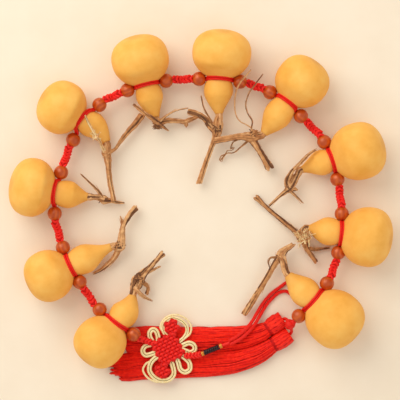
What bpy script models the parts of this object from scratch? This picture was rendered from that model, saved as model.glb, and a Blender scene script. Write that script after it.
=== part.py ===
"""Ten dried bottle gourds tied on one red cord, closed into a ring and lying on a flat surface.

Each gourd lies on its belly with its crown towards the inside of the ring and its dry stalk still on
its neck. The doubled cord runs over and under each waist between two wooden beads, is knotted along
the spans between gourds, and ends in a woven knot with gold loops on one side and in two tassels on
the other, where a hanging loop comes out of a wrapped band.

Lengths are in millimetres, seen from above: +X right, +Y up the ring, +Z away from the surface.
"""

import math
import random

import bmesh
import bpy
from mathutils import Matrix, Vector

MM = 0.001

# Middle of the whole string on the surface, in the layout's coordinates
LAYOUT_CENTRE = (0.6, -4.6)
# Space kept between touching pieces
GAP = 0.3

# Gourds
GOURD_SIDES = 16
FLAT_DEPTH = 0.45  # how far the small flat under a belly is worn in
WAIST_RADIUS = 5.9
NECK_END_RADIUS = 2.9
NECK_Z = 9.0
LOBE_BLEND = 6  # higher is a sharper waist
NECK_GROWTH = 8.0  # the neck's own line comes in over this much before the waist
NECK_BEND = 0.45  # share of the way from crown to neck that keeps the axis's direction
CROWN_LIFT = 0.3  # a crown hangs this far above the surface
RAISED_CROWN_LIFT = 2.9  # the last gourd's crown lies over the hanging loop

# Belly middle x, y; half length along the axis; half width; crown x, y; crown radius; neck end x, y
GOURDS = (
    (-68.7, -97.7, 17.7, 17.7, -52.7, -79.0, 9.9, -46.7, -65.9),
    (-104.3, -52.1, 16.5, 17.8, -80.4, -40.9, 10.3, -61.8, -32.6),
    (-115.2, 8.6, 15.8, 20.2, -90.8, 3.8, 9.7, -77.9, 2.2),
    (-94.3, 63.1, 17.5, 18.5, -75.6, 52.6, 9.4, -65.2, 40.3),
    (-41.0, 96.4, 17.2, 19.8, -35.0, 72.1, 9.5, -31.2, 57.4),
    (14.8, 100.8, 16.6, 20.2, 12.7, 76.1, 10.3, 13.2, 60.0),
    (70.0, 81.3, 17.8, 18.5, 53.9, 59.0, 10.0, 44.3, 46.3),
    (109.6, 33.6, 18.0, 19.8, 84.4, 25.9, 9.2, 70.8, 21.1),
    (115.6, -25.4, 16.8, 20.6, 88.4, -21.6, 10.0, 75.2, -19.9),
    (92.6, -81.6, 19.9, 19.9, 72.5, -63.6, 10.4, 61.1, -52.1),
)

# Wooden beads, two for each gourd, in the order of the cord: middle x, y; height above the waist's axis
BEAD_RADIUS = 5.0
BEAD_SIDES = 10
BORE_RADIUS = 2.45
BEADS = (
    (-46.0, -92.9, 0.0), (-69.4, -75.7, 0.0),
    (-83.2, -56.6, 0.0), (-94.7, -32.8, 0.0),
    (-100.4, -9.4, 0.0), (-96.0, 19.1, 0.0),
    (-87.8, 41.6, 0.0), (-69.5, 65.8, 1.6),
    (-50.1, 75.9, 0.0), (-23.4, 82.4, 0.0),
    (-0.7, 83.7, 0.0), (27.7, 81.7, 0.8),
    (48.4, 74.5, -0.5), (69.7, 57.9, 0.0),
    (85.9, 40.2, 0.0), (95.0, 14.4, 0.0),
    (97.9, -9.5, 0.0), (95.5, -36.4, 0.0),
    (87.5, -57.5, 0.0), (68.1, -80.0, 0.0),
)

# Cord: two strands, one over and one under each waist
STRAND_RADIUS = 1.05
STRAND_SIDES = 6
STRAND_SPLIT = 0.95  # from the bore's middle to each strand's
STRAND_CLEAR = 1.0  # a round strand's space to a faceted waist
STRAND_ANGLES = (150, 110, 70, 30)  # round a waist, from the first bead to the second
STRAND_DRIFT = 0.2  # how much of a bead's place along the gourd the strands follow round the waist
STRAND_END = 5.0  # from a bead's middle to where the strands go into the knotted span
KNOTTED_RADIUS = 2.9
KNOT_PITCH = 2.2
KNOT_RELIEF = 0.13
SPAN_ENTRY = ((3.7, 1.7), (4.6, 1.75))  # distance from a bead's middle and radius, before the first knot
SPAN_START = 5.3  # from a bead's middle to the first knot
FIRST_KNOT_RADIUS = 2.3
SPAN_LEAD = 1.6  # how far a span runs straight on before it sags
SPAN_SAG = 3.5

# Dry stalks: for each gourd, limbs of points (x, y, z, radius), the first limb going on from the neck
STALK_SIDES = 5
STALK_BASE_RADIUS = 2.5
STALK_BASE_LENGTH = 1.2
BARK_ROUGHNESS = 0.12
STALKS = (
    (
        ((-43, -56, 9, 4.5), (-39.5, -51.5, 8.5, 3), (-34.5, -46.5, 7.5, 2), (-29, -40.5, 7, 1.7),
         (-26, -37.5, 7, 2.4)),
        ((-41.5, -53, 8.5, 1.6), (-34.5, -49.5, 7, 1.1), (-28.5, -46.5, 6.5, 0.7)),
        ((-46, -60, 10, 1.6), (-42.5, -63.5, 12.5, 1.4), (-39, -67, 11, 1.2), (-34, -69.5, 9, 0.6)),
        ((-42.5, -56, 8.5, 1.8), (-36.5, -60, 7, 1.3), (-37, -65, 6.5, 1.3)),
    ),
    (
        ((-56, -32.5, 9, 3.8), (-54.5, -29, 8, 3.2), (-54, -21, 7.5, 2), (-52, -15.5, 7, 1.9), (-48, -9, 6.5, 2.2),
         (-44.5, -5.5, 6, 2.3)),
        ((-53.5, -19, 7, 1.3), (-54.5, -14, 8, 0.9), (-55, -12, 8.5, 0.5)),
        ((-56.5, -34, 8.5, 2.3), (-60, -40.5, 6, 1.8), (-67.5, -47.5, 4, 1.3), (-73.5, -51, 2.5, 0.9)),
    ),
    (
        ((-73, 2, 8, 1.9), (-69.5, 1.5, 7, 2.4), (-66.5, 0, 6, 3), (-63, -0.5, 5, 1.8), (-58.5, -1.5, 3, 1.2),
         (-54, -2, 2.5, 0.8)),
        ((-67, 0.5, 6.5, 1.5), (-71.5, 7, 8, 1), (-77.5, 13, 9.5, 0.7), (-82, 17.5, 11, 0.5)),
    ),
    (
        ((-65, 34, 9, 3.5), (-64, 28.5, 8, 2.7), (-63.5, 22, 8, 1.9), (-62.5, 12.5, 8.5, 1.9), (-61, 5.5, 9, 1.7),
         (-60, 0, 10, 1.8)),
        ((-65, 33, 8.5, 2.4), (-59.5, 35, 8, 1.2), (-55.5, 40.5, 7, 1.5), (-50, 47.5, 6.5, 1.9), (-45, 53, 5.5, 2.3),
         (-40.5, 59, 5, 2.4)),
        ((-66, 34, 10, 1.9), (-68, 37.5, 14, 1.2), (-69, 40.5, 17.5, 1.1), (-71, 43.5, 20.5, 1.1),
         (-74, 48.5, 22.5, 1.1), (-76.5, 53, 23.5, 1.1), (-78, 56.5, 26, 0.8)),
    ),
    (
        ((-30, 54.5, 9, 3.5), (-27.5, 54, 8, 2.6), (-24, 55, 7, 2.2), (-17.5, 55, 6, 1.8), (-11, 54.5, 5, 1.7),
         (-7, 56, 4, 1.7), (-3, 57.5, 3.5, 1.3)),
        ((-29, 53.5, 8.5, 2.2), (-29.5, 50.5, 7, 2.1)),
        ((-10, 54.5, 5, 1.3), (-9.5, 52, 4, 1.4)),
        ((-46, 66, 14.5, 0.9), (-41.5, 62.5, 15, 1.3), (-36.5, 58.5, 15.5, 1.6), (-32.5, 56, 14.5, 1.8),
         (-28.5, 53, 11.5, 1.6), (-22.5, 48.5, 9.5, 0.6)),
        ((-28, 54.5, 9.5, 1.2), (-22, 59, 11.5, 0.6), (-16, 62, 11.5, 0.5), (-9.5, 63.5, 11, 0.5)),
    ),
    (
        ((13, 56.5, 9, 3), (12, 48.5, 8.5, 3.9), (11, 44.5, 8, 2.5), (8.5, 38, 7, 1.8), (4, 25.5, 6, 1.8),
         (-0.5, 12, 5, 2.1)),
        ((11.5, 47, 8.5, 2.6), (6.5, 51.5, 9, 2.3), (3.5, 56, 10, 2.2), (-2, 59.5, 10.5, 2.1), (-7.5, 61, 11, 2.2)),
        ((10.5, 50, 9.5, 1), (5.5, 58.5, 13.5, 0.5), (2.5, 64, 15, 0.5), (1, 71, 13.5, 0.5)),
    ),
    (
        ((40, 44.5, 9, 2.8), (36, 43.5, 9, 3.9), (27.5, 44, 10.5, 2.3), (19.5, 42.5, 11.5, 2.2), (10.5, 41, 13, 2.3)),
        ((35.5, 43, 8.5, 3.2), (39.5, 37, 8, 2.4), (44, 30, 6.5, 2.3), (48.5, 22.5, 5.5, 3)),
        ((35.5, 45, 11, 1.4), (35.5, 49.5, 12.5, 0.6), (32, 52, 13.5, 0.5), (27.5, 54.5, 14, 0.5),
         (24.5, 60, 15, 0.5), (24, 69, 17, 0.5), (25.5, 76.5, 19.5, 0.5), (29.5, 83, 23.5, 0.5), (34, 88, 26, 0.5)),
        ((35.5, 49.5, 12.5, 0.6), (36, 54.5, 14.5, 0.5), (33, 59.5, 15, 0.5), (31.5, 66, 16, 0.5),
         (33.5, 73, 17.5, 0.5), (36.5, 77.5, 18.5, 0.5), (42.5, 85.5, 19.5, 0.5)),
        ((34, 41.5, 8, 1), (28.5, 37, 6.5, 0.6), (23.5, 33, 5, 0.5), (18.5, 32.5, 4, 0.5), (15, 28.5, 3, 0.5)),
    ),
    (
        ((67, 16, 8.5, 2.2), (65.5, 13, 8, 2.4), (62, 8, 7.5, 3), (59.5, 6, 7, 1.9), (54, 1.5, 7, 1.1),
         (48.5, -3.5, 7.5, 0.9)),
        ((62, 8.5, 8, 2.6), (60.5, 13, 9, 2.3), (63.5, 19.5, 12, 1.5), (69, 25.5, 15.5, 1.2), (75, 31.5, 16.5, 1),
         (79.5, 34.5, 16, 0.8)),
        ((62, 7, 7, 1.4), (67, 2.5, 6.5, 0.8), (71, -1.5, 6, 0.5)),
        ((62.5, 8.5, 7.5, 1.9), (66.5, 7.5, 7, 1.5)),
    ),
    (
        ((71.5, -22, 9, 3), (70.5, -25, 8.5, 4.3), (70.5, -27, 7.5, 3.2), (66, -21.5, 5.5, 1.9),
         (57.5, -14.5, 4.5, 1.7), (47.5, -6, 3, 1.5), (42, -0.5, 3, 1.9), (39.5, 2, 3, 2.4)),
        ((72, -27, 8, 3), (74, -33, 6.5, 1.9), (77, -38, 6, 1.6), (80.5, -42.5, 5, 1.6)),
        ((74.5, -33, 6, 1.5), (79.5, -34.5, 4, 1.3), (84.5, -34, 3, 1.1), (89.5, -33.5, 3, 0.9)),
    ),
    (
        ((58.5, -47, 10.5, 2.6), (57.5, -42.5, 10, 2.6), (56, -38.5, 9, 3.5), (59, -34.5, 9, 2.4),
         (62.5, -32.5, 8.5, 1.9), (64.5, -31, 8.5, 1.7)),
        ((56, -39.5, 9, 2.7), (52, -44.5, 8, 2.1), (46, -55, 7, 2), (38.5, -67.5, 5.5, 2.1), (31, -79, 4.5, 2.2)),
        ((54, -40, 9, 1.2), (49.5, -40, 8.5, 0.6), (47.5, -42.5, 8, 0.5), (48, -45.5, 7.5, 0.5)),
    ),
)

# Woven knot: a square of crossing cords on its corner, with a smaller square at the top and bottom corners
WEAVE_CENTRE = (-22.2, -103.4)
WEAVE_HEADING = math.radians(28)
WEAVE_Z = 7.7
WEAVE_CORD_RADIUS = 1.9
WEAVE_PITCH = 4.4
WEAVE_CORDS = 4
WEAVE_RISE = 0.8
WEAVE_SIDES = 5
LOBE_CORDS = 2
LOBE_CENTRES = ((-19.6, -88.4), (-26.2, -118.6))
# Doubled cord on each side of the knot: points (x, y, z, radius)
ARM_SIDES = 8
WEST_ARM = (
    (-41.2, -96.2, 10.6, 1.9), (-37.5, -97.6, 9.0, 2.1), (-33.0, -99.4, 7.9, 2.2), (-25.0, -102.5, 7.7, 2.0),
)
EAST_ARM = (
    (-19.0, -105.0, 7.7, 2.0), (-9.6, -108.2, 7.8, 1.9), (-3.6, -107.9, 8.3, 1.7), (-0.4, -107.2, 8.6, 1.6),
)
CORE_END = (17.2, -100.2, 8.6)
CORE_RADIUS = 1.0

# Gold cord loops round the woven knot: points (x, y) of each loop's paired strands, then of its thin outer one
GOLD_Z = 7.2
GOLD_STRAND_RADIUS = 0.75
GOLD_SIDES = 8
GOLD_STEP = 3.4
PAIR_HEIGHT = 0.75  # of a strand's radius, where two strands lie side by side
PAIR_WIDTH = 2.0
BLOCK_HEIGHT = 10.0
GOLD_LOOPS = (
    ("top", ((-22.0, -95.5), (-25.2, -91.5), (-25.4, -86.8), (-22.6, -83.4), (-18.5, -82.0), (-13.2, -83.8),
             (-9.6, -87.3), (-9.0, -91.5), (-11.0, -95.5), (-14.5, -98.5)),
     ((-25.5, -92.0), (-27.6, -87.5), (-23.6, -81.6), (-17.0, -79.8), (-10.3, -82.1), (-6.4, -87.2),
      (-6.8, -92.6), (-11.0, -96.5))),
    ("left_top", ((-33.0, -98.5), (-34.9, -95.0), (-34.9, -91.9), (-32.9, -90.0), (-30.6, -91.0),
                  (-29.2, -94.6), (-29.0, -98.0)), ()),
    ("left_low", ((-30.0, -99.6), (-34.5, -100.4), (-38.3, -101.8), (-39.8, -105.0), (-37.6, -107.8),
                  (-32.6, -106.6), (-28.0, -104.5)), ()),
    ("bottom", ((-27.0, -107.5), (-31.8, -110.4), (-34.4, -113.8), (-35.1, -118.5), (-32.4, -122.7),
                (-27.3, -125.5), (-21.4, -124.8), (-18.2, -120.6), (-19.2, -114.6), (-21.0, -110.5)),
     ((-33.0, -111.5), (-37.6, -113.8), (-39.6, -118.4), (-36.2, -123.6), (-30.4, -126.4),
      (-26.6, -125.6))),
    ("right_low", ((-16.5, -109.5), (-14.9, -113.5), (-13.7, -117.6), (-10.5, -119.6), (-7.2, -117.8),
                   (-7.3, -113.3), (-10.0, -110.2), (-13.5, -107.5)), ()),
    ("right", ((-15.0, -102.5), (-11.0, -100.6), (-7.4, -99.4), (-4.2, -101.0), (-3.8, -104.2), (-6.6, -106.0),
               (-9.6, -105.0), (-13.5, -103.5)), ()),
)

# Wrapped band and its two rings, on the cord that leaves the knot
BAND_START = (0.9, -106.9, 8.6)
BAND_END = (15.3, -101.0, 8.6)
RING_LENGTH = 2.0
RING_RADIUS = 1.85
WRAP_RADIUS = 2.0
SLEEVE_BORE = 1.35
SLEEVE_SIDES = 12

# Hanging loop: the middle line between its two strands, then the turn under the last crown
LOOP_RADIUS = 1.15
LOOP_HALF_SPACING = 1.35
LOOP_STEP = 5.0
LOOP_MIDDLE = (
    (20.4, -99.0, 8.8), (26.0, -96.0, 9.0), (32.0, -91.2, 8.8), (37.4, -85.0, 6.8), (42.2, -77.4, 2.6),
    (46.6, -71.0, 1.4), (52.0, -65.4, 1.3),
)
LOOP_TURN = (
    (56.4, -60.6, 1.3), (61.0, -57.4, 1.3), (66.0, -56.4, 1.3), (70.4, -58.8, 1.3), (71.4, -62.8, 1.3),
    (68.8, -66.2, 1.3), (64.4, -66.4, 1.3), (60.4, -63.8, 1.3), (56.0, -64.4, 1.3),
)

# Tassels: cap and skirt of each, as points (x, y, half width, thickness) from the cap's outer end
TASSEL_FLOOR = 0.1
BUNDLE_ROUNDNESS = 0.6  # lower is a squarer section
BUNDLE_FOOT = 0.85  # half width on the surface, of the half width above it
LEAST_HEIGHT = 0.25
SKIRT_RIDGES = 9
SKIRT_RELIEF = 0.45
SKIRT_SHORTEST = -2.2  # threads end this far short of the skirt's line, or past it
SKIRT_LONGEST = 1.2
TASSELS = (
    (
        ((57.6, -83.0, 3.6, 5.4), (55.6, -84.4, 5.2, 8.6), (51.6, -87.2, 5.3, 9.0), (48.4, -89.4, 4.6, 7.4)),
        ((47.6, -90.0, 4.6, 7.2), (42.0, -92.9, 6.0, 7.6), (30.0, -96.1, 7.4, 6.8), (15.0, -97.4, 8.1, 5.6),
         (0.0, -97.7, 8.3, 5.0), (-20.0, -97.7, 8.3, 4.8), (-40.0, -98.0, 8.2, 4.3), (-50.0, -98.6, 7.2, 3.4),
         (-56.0, -99.2, 6.0, 2.8)),
    ),
    (
        ((62.4, -93.8, 3.6, 5.4), (60.4, -95.2, 5.2, 8.6), (56.2, -98.0, 5.3, 9.0), (52.8, -100.3, 4.6, 7.4)),
        ((51.4, -100.8, 4.7, 7.2), (43.5, -106.2, 6.0, 7.6), (30.0, -111.6, 7.2, 6.8), (15.0, -114.2, 7.9, 5.6),
         (0.0, -114.9, 8.2, 5.0), (-20.0, -115.3, 8.4, 4.8), (-40.0, -115.9, 8.3, 4.4), (-52.0, -117.2, 8.0, 3.8),
         (-61.0, -118.4, 6.6, 2.8)),
    ),
)

# Button knot between the last bead and the tassels
BUTTON_KNOT = (62.1, -85.9, 12.9)
BUTTON_RADIUS = 3.0
BUTTON_RELIEF = 0.07
TAIL_RADIUS = 1.1
BUTTON_TAILS = (
    ((61.8, -84.6, 11.0), (60.8, -82.4, 7.0), (59.8, -81.7, 4.0), (58.3, -82.5, 3.0)),
    ((62.6, -87.6, 11.0), (64.4, -90.2, 7.0), (64.6, -92.0, 4.0), (62.95, -93.4, 3.0)),
)


def plan(point):
    return Vector((point[0], point[1], 0.0))


def between(a, b, share):
    return a + (b - a) * share


def smooth_route(points, step):
    """Points about one step apart on a smooth curve through the given ones."""
    route = [Vector(p) for p in points]
    ends = [2 * route[0] - route[1], *route, 2 * route[-1] - route[-2]]
    found = []
    for before, start, end, after in zip(ends, ends[1:], ends[2:], ends[3:]):
        count = max(1, round((end - start).length / step))
        for i in range(count):
            t = i / count
            found.append(
                0.5 * (2 * start + (end - before) * t + (2 * before - 5 * start + 4 * end - after) * t**2
                       + (3 * start - before - 3 * end + after) * t**3)
            )
    return [*found, route[-1]]


def tangents(centres):
    last = len(centres) - 1
    return [(centres[min(i + 1, last)] - centres[max(i - 1, 0)]).normalized() for i in range(last + 1)]


def cross_frames(centres):
    """The side and the up direction across a path at each of its points, without twist along it."""
    frames = []
    up = Vector((0, 0, 1))
    for tangent in tangents(centres):
        side = tangent.cross(up)
        if side.length < 0.1:
            side = tangent.orthogonal()
        side.normalize()
        up = side.cross(tangent).normalized()
        frames.append((side, up))
    return frames


def rings_round(centres, sides, radius_of, turned=0.5):
    """Rings of points round a path. radius_of(station, angle) is in millimetres, angle 0 to the side.

    turned is the first point's place in steps round the ring: with 0, a point lies at the very bottom.
    """
    rings = []
    for i, (centre, (side, up)) in enumerate(zip(centres, cross_frames(centres))):
        angles = [2 * math.pi * (k + turned) / sides for k in range(sides)]
        rings.append(
            [centre + (side * math.cos(a) + up * math.sin(a)) * radius_of(i, a) for a in angles]
        )
    return rings


def skin(rings, pole=None):
    """A closed mesh over the rings, with flat ends or, at the start, a point."""
    mesh = bmesh.new()
    rows = [[mesh.verts.new(p * MM) for p in ring] for ring in rings]
    for low, high in zip(rows, rows[1:]):
        for k in range(len(low)):
            following = (k + 1) % len(low)
            mesh.faces.new((low[k], low[following], high[following], high[k]))
    mesh.faces.new(rows[-1])
    if pole is None:
        mesh.faces.new(reversed(rows[0]))
    else:
        tip = mesh.verts.new(pole * MM)
        for k in range(len(rows[0])):
            mesh.faces.new((rows[0][(k + 1) % len(rows[0])], rows[0][k], tip))
    if mesh.calc_volume(signed=True) < 0:
        bmesh.ops.reverse_faces(mesh, faces=mesh.faces)
    return mesh


def material(name, colour, roughness, metallic=0.0):
    made = bpy.data.materials.new(name)
    made.use_nodes = True
    shader = made.node_tree.nodes["Principled BSDF"]
    shader.inputs["Base Color"].default_value = (*colour, 1.0)
    shader.inputs["Roughness"].default_value = roughness
    shader.inputs["Metallic"].default_value = metallic
    return made


def make_object(name, shape, finish, parent):
    """A smooth-shaded object from a bmesh, which is freed, or from a mesh."""
    if isinstance(shape, bmesh.types.BMesh):
        data = bpy.data.meshes.new(name)
        shape.to_mesh(data)
        shape.free()
        data.shade_smooth()
        data.set_sharp_from_angle(angle=math.radians(50))
        data.materials.append(finish)
    else:
        data = shape
    made = bpy.data.objects.new(name, data)
    made.parent = parent
    bpy.context.scene.collection.objects.link(made)
    return made


def combine(base, others, operation, solver="MANIFOLD"):
    """Joins or cuts base with other objects for good, and removes them."""
    group = bpy.data.collections.new(base.name + "_shapes")
    bpy.context.scene.collection.children.link(group)
    for other in others:
        bpy.context.scene.collection.objects.unlink(other)
        group.objects.link(other)
    step = base.modifiers.new(operation.lower(), "BOOLEAN")
    step.operation = operation
    step.solver = solver
    step.operand_type = "COLLECTION"
    step.collection = group
    seen = base.evaluated_get(bpy.context.evaluated_depsgraph_get())
    result = bpy.data.meshes.new_from_object(seen)
    base.modifiers.clear()
    base.data = result
    for other in others:
        bpy.data.objects.remove(other)
    bpy.data.collections.remove(group)
    return base


class Gourd:
    """One gourd's axis and profile, worked out from its row of the layout."""

    def __init__(self, row, beads, crown_lift, neck_z):
        x, y, self.half_length, self.half_width, crown_x, crown_y, self.crown_radius, neck_x, neck_y = row
        self.crown = Vector((crown_x, crown_y, self.crown_radius + crown_lift))
        tilt = math.atan2(self.half_width - self.crown.z, math.hypot(crown_x - x, crown_y - y))
        lowest = math.hypot(self.half_length * math.sin(tilt), self.half_width * math.cos(tilt))
        self.belly = Vector((x, y, lowest - FLAT_DEPTH))
        self.neck = Vector((neck_x, neck_y, neck_z))
        self.axis = (self.crown - self.belly).normalized()
        self.to_crown = (self.crown - self.belly).length
        self.to_neck = self.to_crown + (self.neck - self.crown).length
        middle = (plan(beads[0]) + plan(beads[1])) / 2 - plan(self.belly)
        self.to_waist = middle.dot(plan(self.axis)) / plan(self.axis).length_squared
        self.waist = self.belly + self.axis * self.to_waist

    def centre(self, along):
        """The axis point this far from the belly's middle: straight to the crown, then bent to the neck."""
        if along <= self.to_crown:
            return self.belly + self.axis * along
        length = self.to_neck - self.to_crown
        share = (along - self.to_crown) / length
        bend = self.crown + self.axis * length * NECK_BEND
        return between(between(self.crown, bend, share), between(bend, self.neck, share), share)

    def radius(self, along):
        """Belly and crown as round lobes on a tapering neck, blended into one line."""
        belly = self.half_width * math.sqrt(max(0.0, 1 - (along / self.half_length) ** 2))
        crown = self.crown_radius * math.sqrt(max(0.0, 1 - ((along - self.to_crown) / self.crown_radius) ** 2))
        grown = min(1.0, max(0.0, (along - self.to_waist + NECK_GROWTH) / NECK_GROWTH))
        past = min(1.0, max(0.0, (along - self.to_crown) / (self.to_neck - self.to_crown)))
        neck = grown * (WAIST_RADIUS + (NECK_END_RADIUS - WAIST_RADIUS) * past)
        return (belly**LOBE_BLEND + crown**LOBE_BLEND + neck**LOBE_BLEND) ** (1 / LOBE_BLEND)

    def reach_over(self, along, clear):
        """How far from the axis a cord lies when it drops into the groove with this much round its middle."""
        steps = [clear * i / 8 for i in range(-8, 9)]
        return max(self.radius(along + d) + math.sqrt(clear**2 - d**2) for d in steps)

    def stations(self):
        belly = [-self.half_length * math.cos(math.radians(a)) for a in (28, 48, 68, 88, 108, 128, 146)]
        crown = [self.to_crown + self.crown_radius * share for share in (-0.45, 0.1, 0.6, 0.95)]
        return [*belly, self.to_waist, *crown, self.to_neck]


def gourd_shell(gourd):
    stations = gourd.stations()
    centres = [gourd.centre(along) for along in stations]
    rings = rings_round(centres, GOURD_SIDES, lambda i, _: gourd.radius(stations[i]), turned=0)
    shell = skin(rings, pole=gourd.centre(-gourd.half_length))
    everything = [*shell.verts, *shell.edges, *shell.faces]
    cut = bmesh.ops.bisect_plane(
        shell, geom=everything, plane_co=(0, 0, 0), plane_no=(0, 0, -1), clear_outer=True
    )
    edges = [e for e in cut["geom_cut"] if isinstance(e, bmesh.types.BMEdge)]
    bmesh.ops.edgeloop_fill(shell, edges=edges)
    bmesh.ops.recalc_face_normals(shell, faces=shell.faces)
    return shell


def bead_mesh():
    """A turned ball with a straight bore along X."""
    end = math.acos(BORE_RADIUS / BEAD_RADIUS)
    arc = [(BEAD_RADIUS * math.sin(a), BEAD_RADIUS * math.cos(a)) for a in (-end, -end / 2, 0, end / 2, end)]
    mesh = bmesh.new()
    rows = []
    angles = [2 * math.pi * k / BEAD_SIDES for k in range(BEAD_SIDES)]
    for x, radius in arc:
        ring = [Vector((x, radius * math.cos(a), radius * math.sin(a))) for a in angles]
        rows.append([mesh.verts.new(p * MM) for p in ring])
    for low, high in zip(rows, rows[1:] + rows[:1]):
        for k in range(BEAD_SIDES):
            following = (k + 1) % BEAD_SIDES
            mesh.faces.new((low[k], low[following], high[following], high[k]))
    bmesh.ops.recalc_face_normals(mesh, faces=mesh.faces)
    return mesh


def bead_centres(gourds):
    """Each bead at about the height of its gourd's waist."""
    return [Vector((x, y, gourds[i // 2].waist.z + rise)) for i, (x, y, rise) in enumerate(BEADS)]


def bead_axes(centres):
    """The cord's direction through each bead: between the way to its gourd and the way to the next span."""
    axes = []
    for i, centre in enumerate(centres):
        mate = centres[i ^ 1]
        over_waist = (mate - centre).normalized() * (1 if i % 2 == 0 else -1)
        neighbour = centres[i - 1] if i % 2 == 0 else centres[(i + 1) % len(centres)]
        along_span = (centre - neighbour).normalized() * (1 if i % 2 == 0 else -1)
        outer = i in (0, len(centres) - 1)
        axes.append(over_waist if outer else plan(over_waist + along_span).normalized())
    return axes


def place_bead(bead, centre, axis):
    bead.location = centre * MM
    bead.rotation_euler = (0, 0, math.atan2(axis.y, axis.x))


def waist_strand(gourd, beads, axes, side):
    """One strand from bead to bead round a waist: side is 1 for over it, -1 for under it."""
    across = plan(beads[1] - beads[0]).normalized()
    up = across.cross(gourd.axis).normalized()
    if up.z < 0:
        up = -up
    skews = [(bead - gourd.waist).dot(gourd.axis) for bead in beads]
    lift = Vector((0, 0, 1))
    start, end = ([bead + axis * way * STRAND_END + side * STRAND_SPLIT * lift for way in (-1, 1)]
                  for bead, axis in zip(beads, axes))
    arc = []
    for angle in STRAND_ANGLES:
        a = math.radians(angle)
        shift = STRAND_DRIFT * math.cos(a) ** 2 * skews[0 if angle > 90 else 1]
        reach = gourd.reach_over(gourd.to_waist + shift, STRAND_RADIUS + STRAND_CLEAR)
        round_waist = (across * math.cos(a) + up * side * math.sin(a)) * reach
        arc.append(gourd.waist + gourd.axis * shift + round_waist)
    centres = [*start, *arc, *end]
    return skin(rings_round(centres, STRAND_SIDES, lambda *_: STRAND_RADIUS))


def knotted_span(start, start_axis, end, end_axis):
    """The knotted cord between two beads: loops that stand out left and right in turn."""
    first = start + start_axis * SPAN_START
    last = end - end_axis * SPAN_START
    sag = between(first, last, 0.5) - Vector((0, 0, SPAN_SAG))
    line = smooth_route((first, first + start_axis * SPAN_LEAD, sag, last - end_axis * SPAN_LEAD, last), 0.9)
    length = sum((b - a).length for a, b in zip(line, line[1:]))
    loops = max(4, round(length / KNOT_PITCH))
    body = [line[round(i * (len(line) - 1) / loops)] for i in range(loops + 1)]
    entry = [start + start_axis * away for away, _ in SPAN_ENTRY]
    leaving = [end - end_axis * away for away, _ in reversed(SPAN_ENTRY)]
    centres = [*entry, *body, *leaving]
    ends = [*(radius for _, radius in SPAN_ENTRY), FIRST_KNOT_RADIUS]

    def radius_of(i, angle):
        from_end = min(i, len(centres) - 1 - i)
        if from_end < len(ends):
            return ends[from_end]
        swing = 1 if i % 2 else -1
        return KNOTTED_RADIUS * (1 - KNOT_RELIEF + KNOT_RELIEF * swing * math.cos(angle))

    return skin(rings_round(centres, STRAND_SIDES, radius_of))


def strand_cord(gourds, beads, axes, finish, parent):
    """The whole main cord: two strands round every waist, and the knotted spans between gourds."""
    pieces = []
    for i, gourd in enumerate(gourds):
        pair = slice(2 * i, 2 * i + 2)
        for side in (1, -1):
            shape = waist_strand(gourd, beads[pair], axes[pair], side)
            pieces.append(make_object(f"strand_{i}_{side}", shape, finish, parent))
    for i in range(1, len(beads) - 1, 2):
        shape = knotted_span(beads[i], axes[i], beads[i + 1], axes[i + 1])
        pieces.append(make_object(f"span_{i}", shape, finish, parent))
    pieces[0].name = "strand_cord"
    return combine(pieces[0], pieces[1:], "UNION")


def stalk(number, limbs, gourd, finish, parent):
    """A dry stalk with its twigs, starting just clear of the neck's cut end."""
    rng = random.Random(number)
    neck_way = (gourd.neck - gourd.centre(gourd.stations()[-2])).normalized()
    joint = gourd.neck + neck_way * 2 * GAP
    base = [(*(joint + neck_way * away), STALK_BASE_RADIUS) for away in (0.0, STALK_BASE_LENGTH)]
    pieces = []
    for points in ([*base, *limbs[0]], *limbs[1:]):
        centres = [Vector(p[:3]) for p in points]
        radii = [p[3] for p in points]

        def radius_of(station, _):
            rough = 0 if station == 0 else BARK_ROUGHNESS
            return radii[station] * (1 + rough * rng.uniform(-1, 1))

        shape = skin(rings_round(centres, STALK_SIDES, radius_of))
        pieces.append(make_object(f"stalk_{number:02}", shape, finish, parent))
    if len(pieces) == 1:
        return pieces[0]
    return combine(pieces[0], pieces[1:], "UNION")


def woven_square(centre, cords, finish, parent):
    """Cords crossing at right angles, each over and under the others in turn."""
    middle = Vector((*centre, WEAVE_Z))
    along = Vector((math.cos(WEAVE_HEADING), math.sin(WEAVE_HEADING), 0))
    across = Vector((-along.y, along.x, 0))
    half = (cords - 1) / 2
    reach = (half + 0.5) * WEAVE_PITCH
    pieces = []
    for way, other, turn in ((along, across, 1), (across, along, -1)):
        for i in range(cords):
            start = middle + other * (i - half) * WEAVE_PITCH
            centres = [start - way * reach]
            for j in range(cords):
                rise = WEAVE_RISE * turn * (-1) ** (i + j)
                centres.append(start + way * (j - half) * WEAVE_PITCH + Vector((0, 0, rise)))
            centres.append(start + way * reach)
            shape = skin(rings_round(centres, WEAVE_SIDES, lambda *_: WEAVE_CORD_RADIUS))
            pieces.append(make_object("woven", shape, finish, parent))
    return pieces


def arm(points, finish, parent, grown=0.0):
    """A tapering stretch of cord through points (x, y, z, radius)."""
    centres = [Vector(p[:3]) for p in points]
    rings = rings_round(centres, ARM_SIDES, lambda i, _: points[i][3] + grown)
    return make_object("arm", skin(rings), finish, parent)


def knot_arms(finish, parent):
    """The doubled cord from the first bead to the knot, and from the knot on through the wrapped band."""
    core = [(*point, CORE_RADIUS) for point in (BAND_START, BAND_END, CORE_END)]
    return [arm(points, finish, parent) for points in (WEST_ARM, (*EAST_ARM, *core))]


def woven_knot(finish, parent):
    pieces = woven_square(WEAVE_CENTRE, WEAVE_CORDS, finish, parent)
    for centre in LOBE_CENTRES:
        pieces += woven_square(centre, LOBE_CORDS, finish, parent)
    pieces += knot_arms(finish, parent)
    pieces[0].name = "woven_knot"
    return combine(pieces[0], pieces[1:], "UNION")


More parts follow.
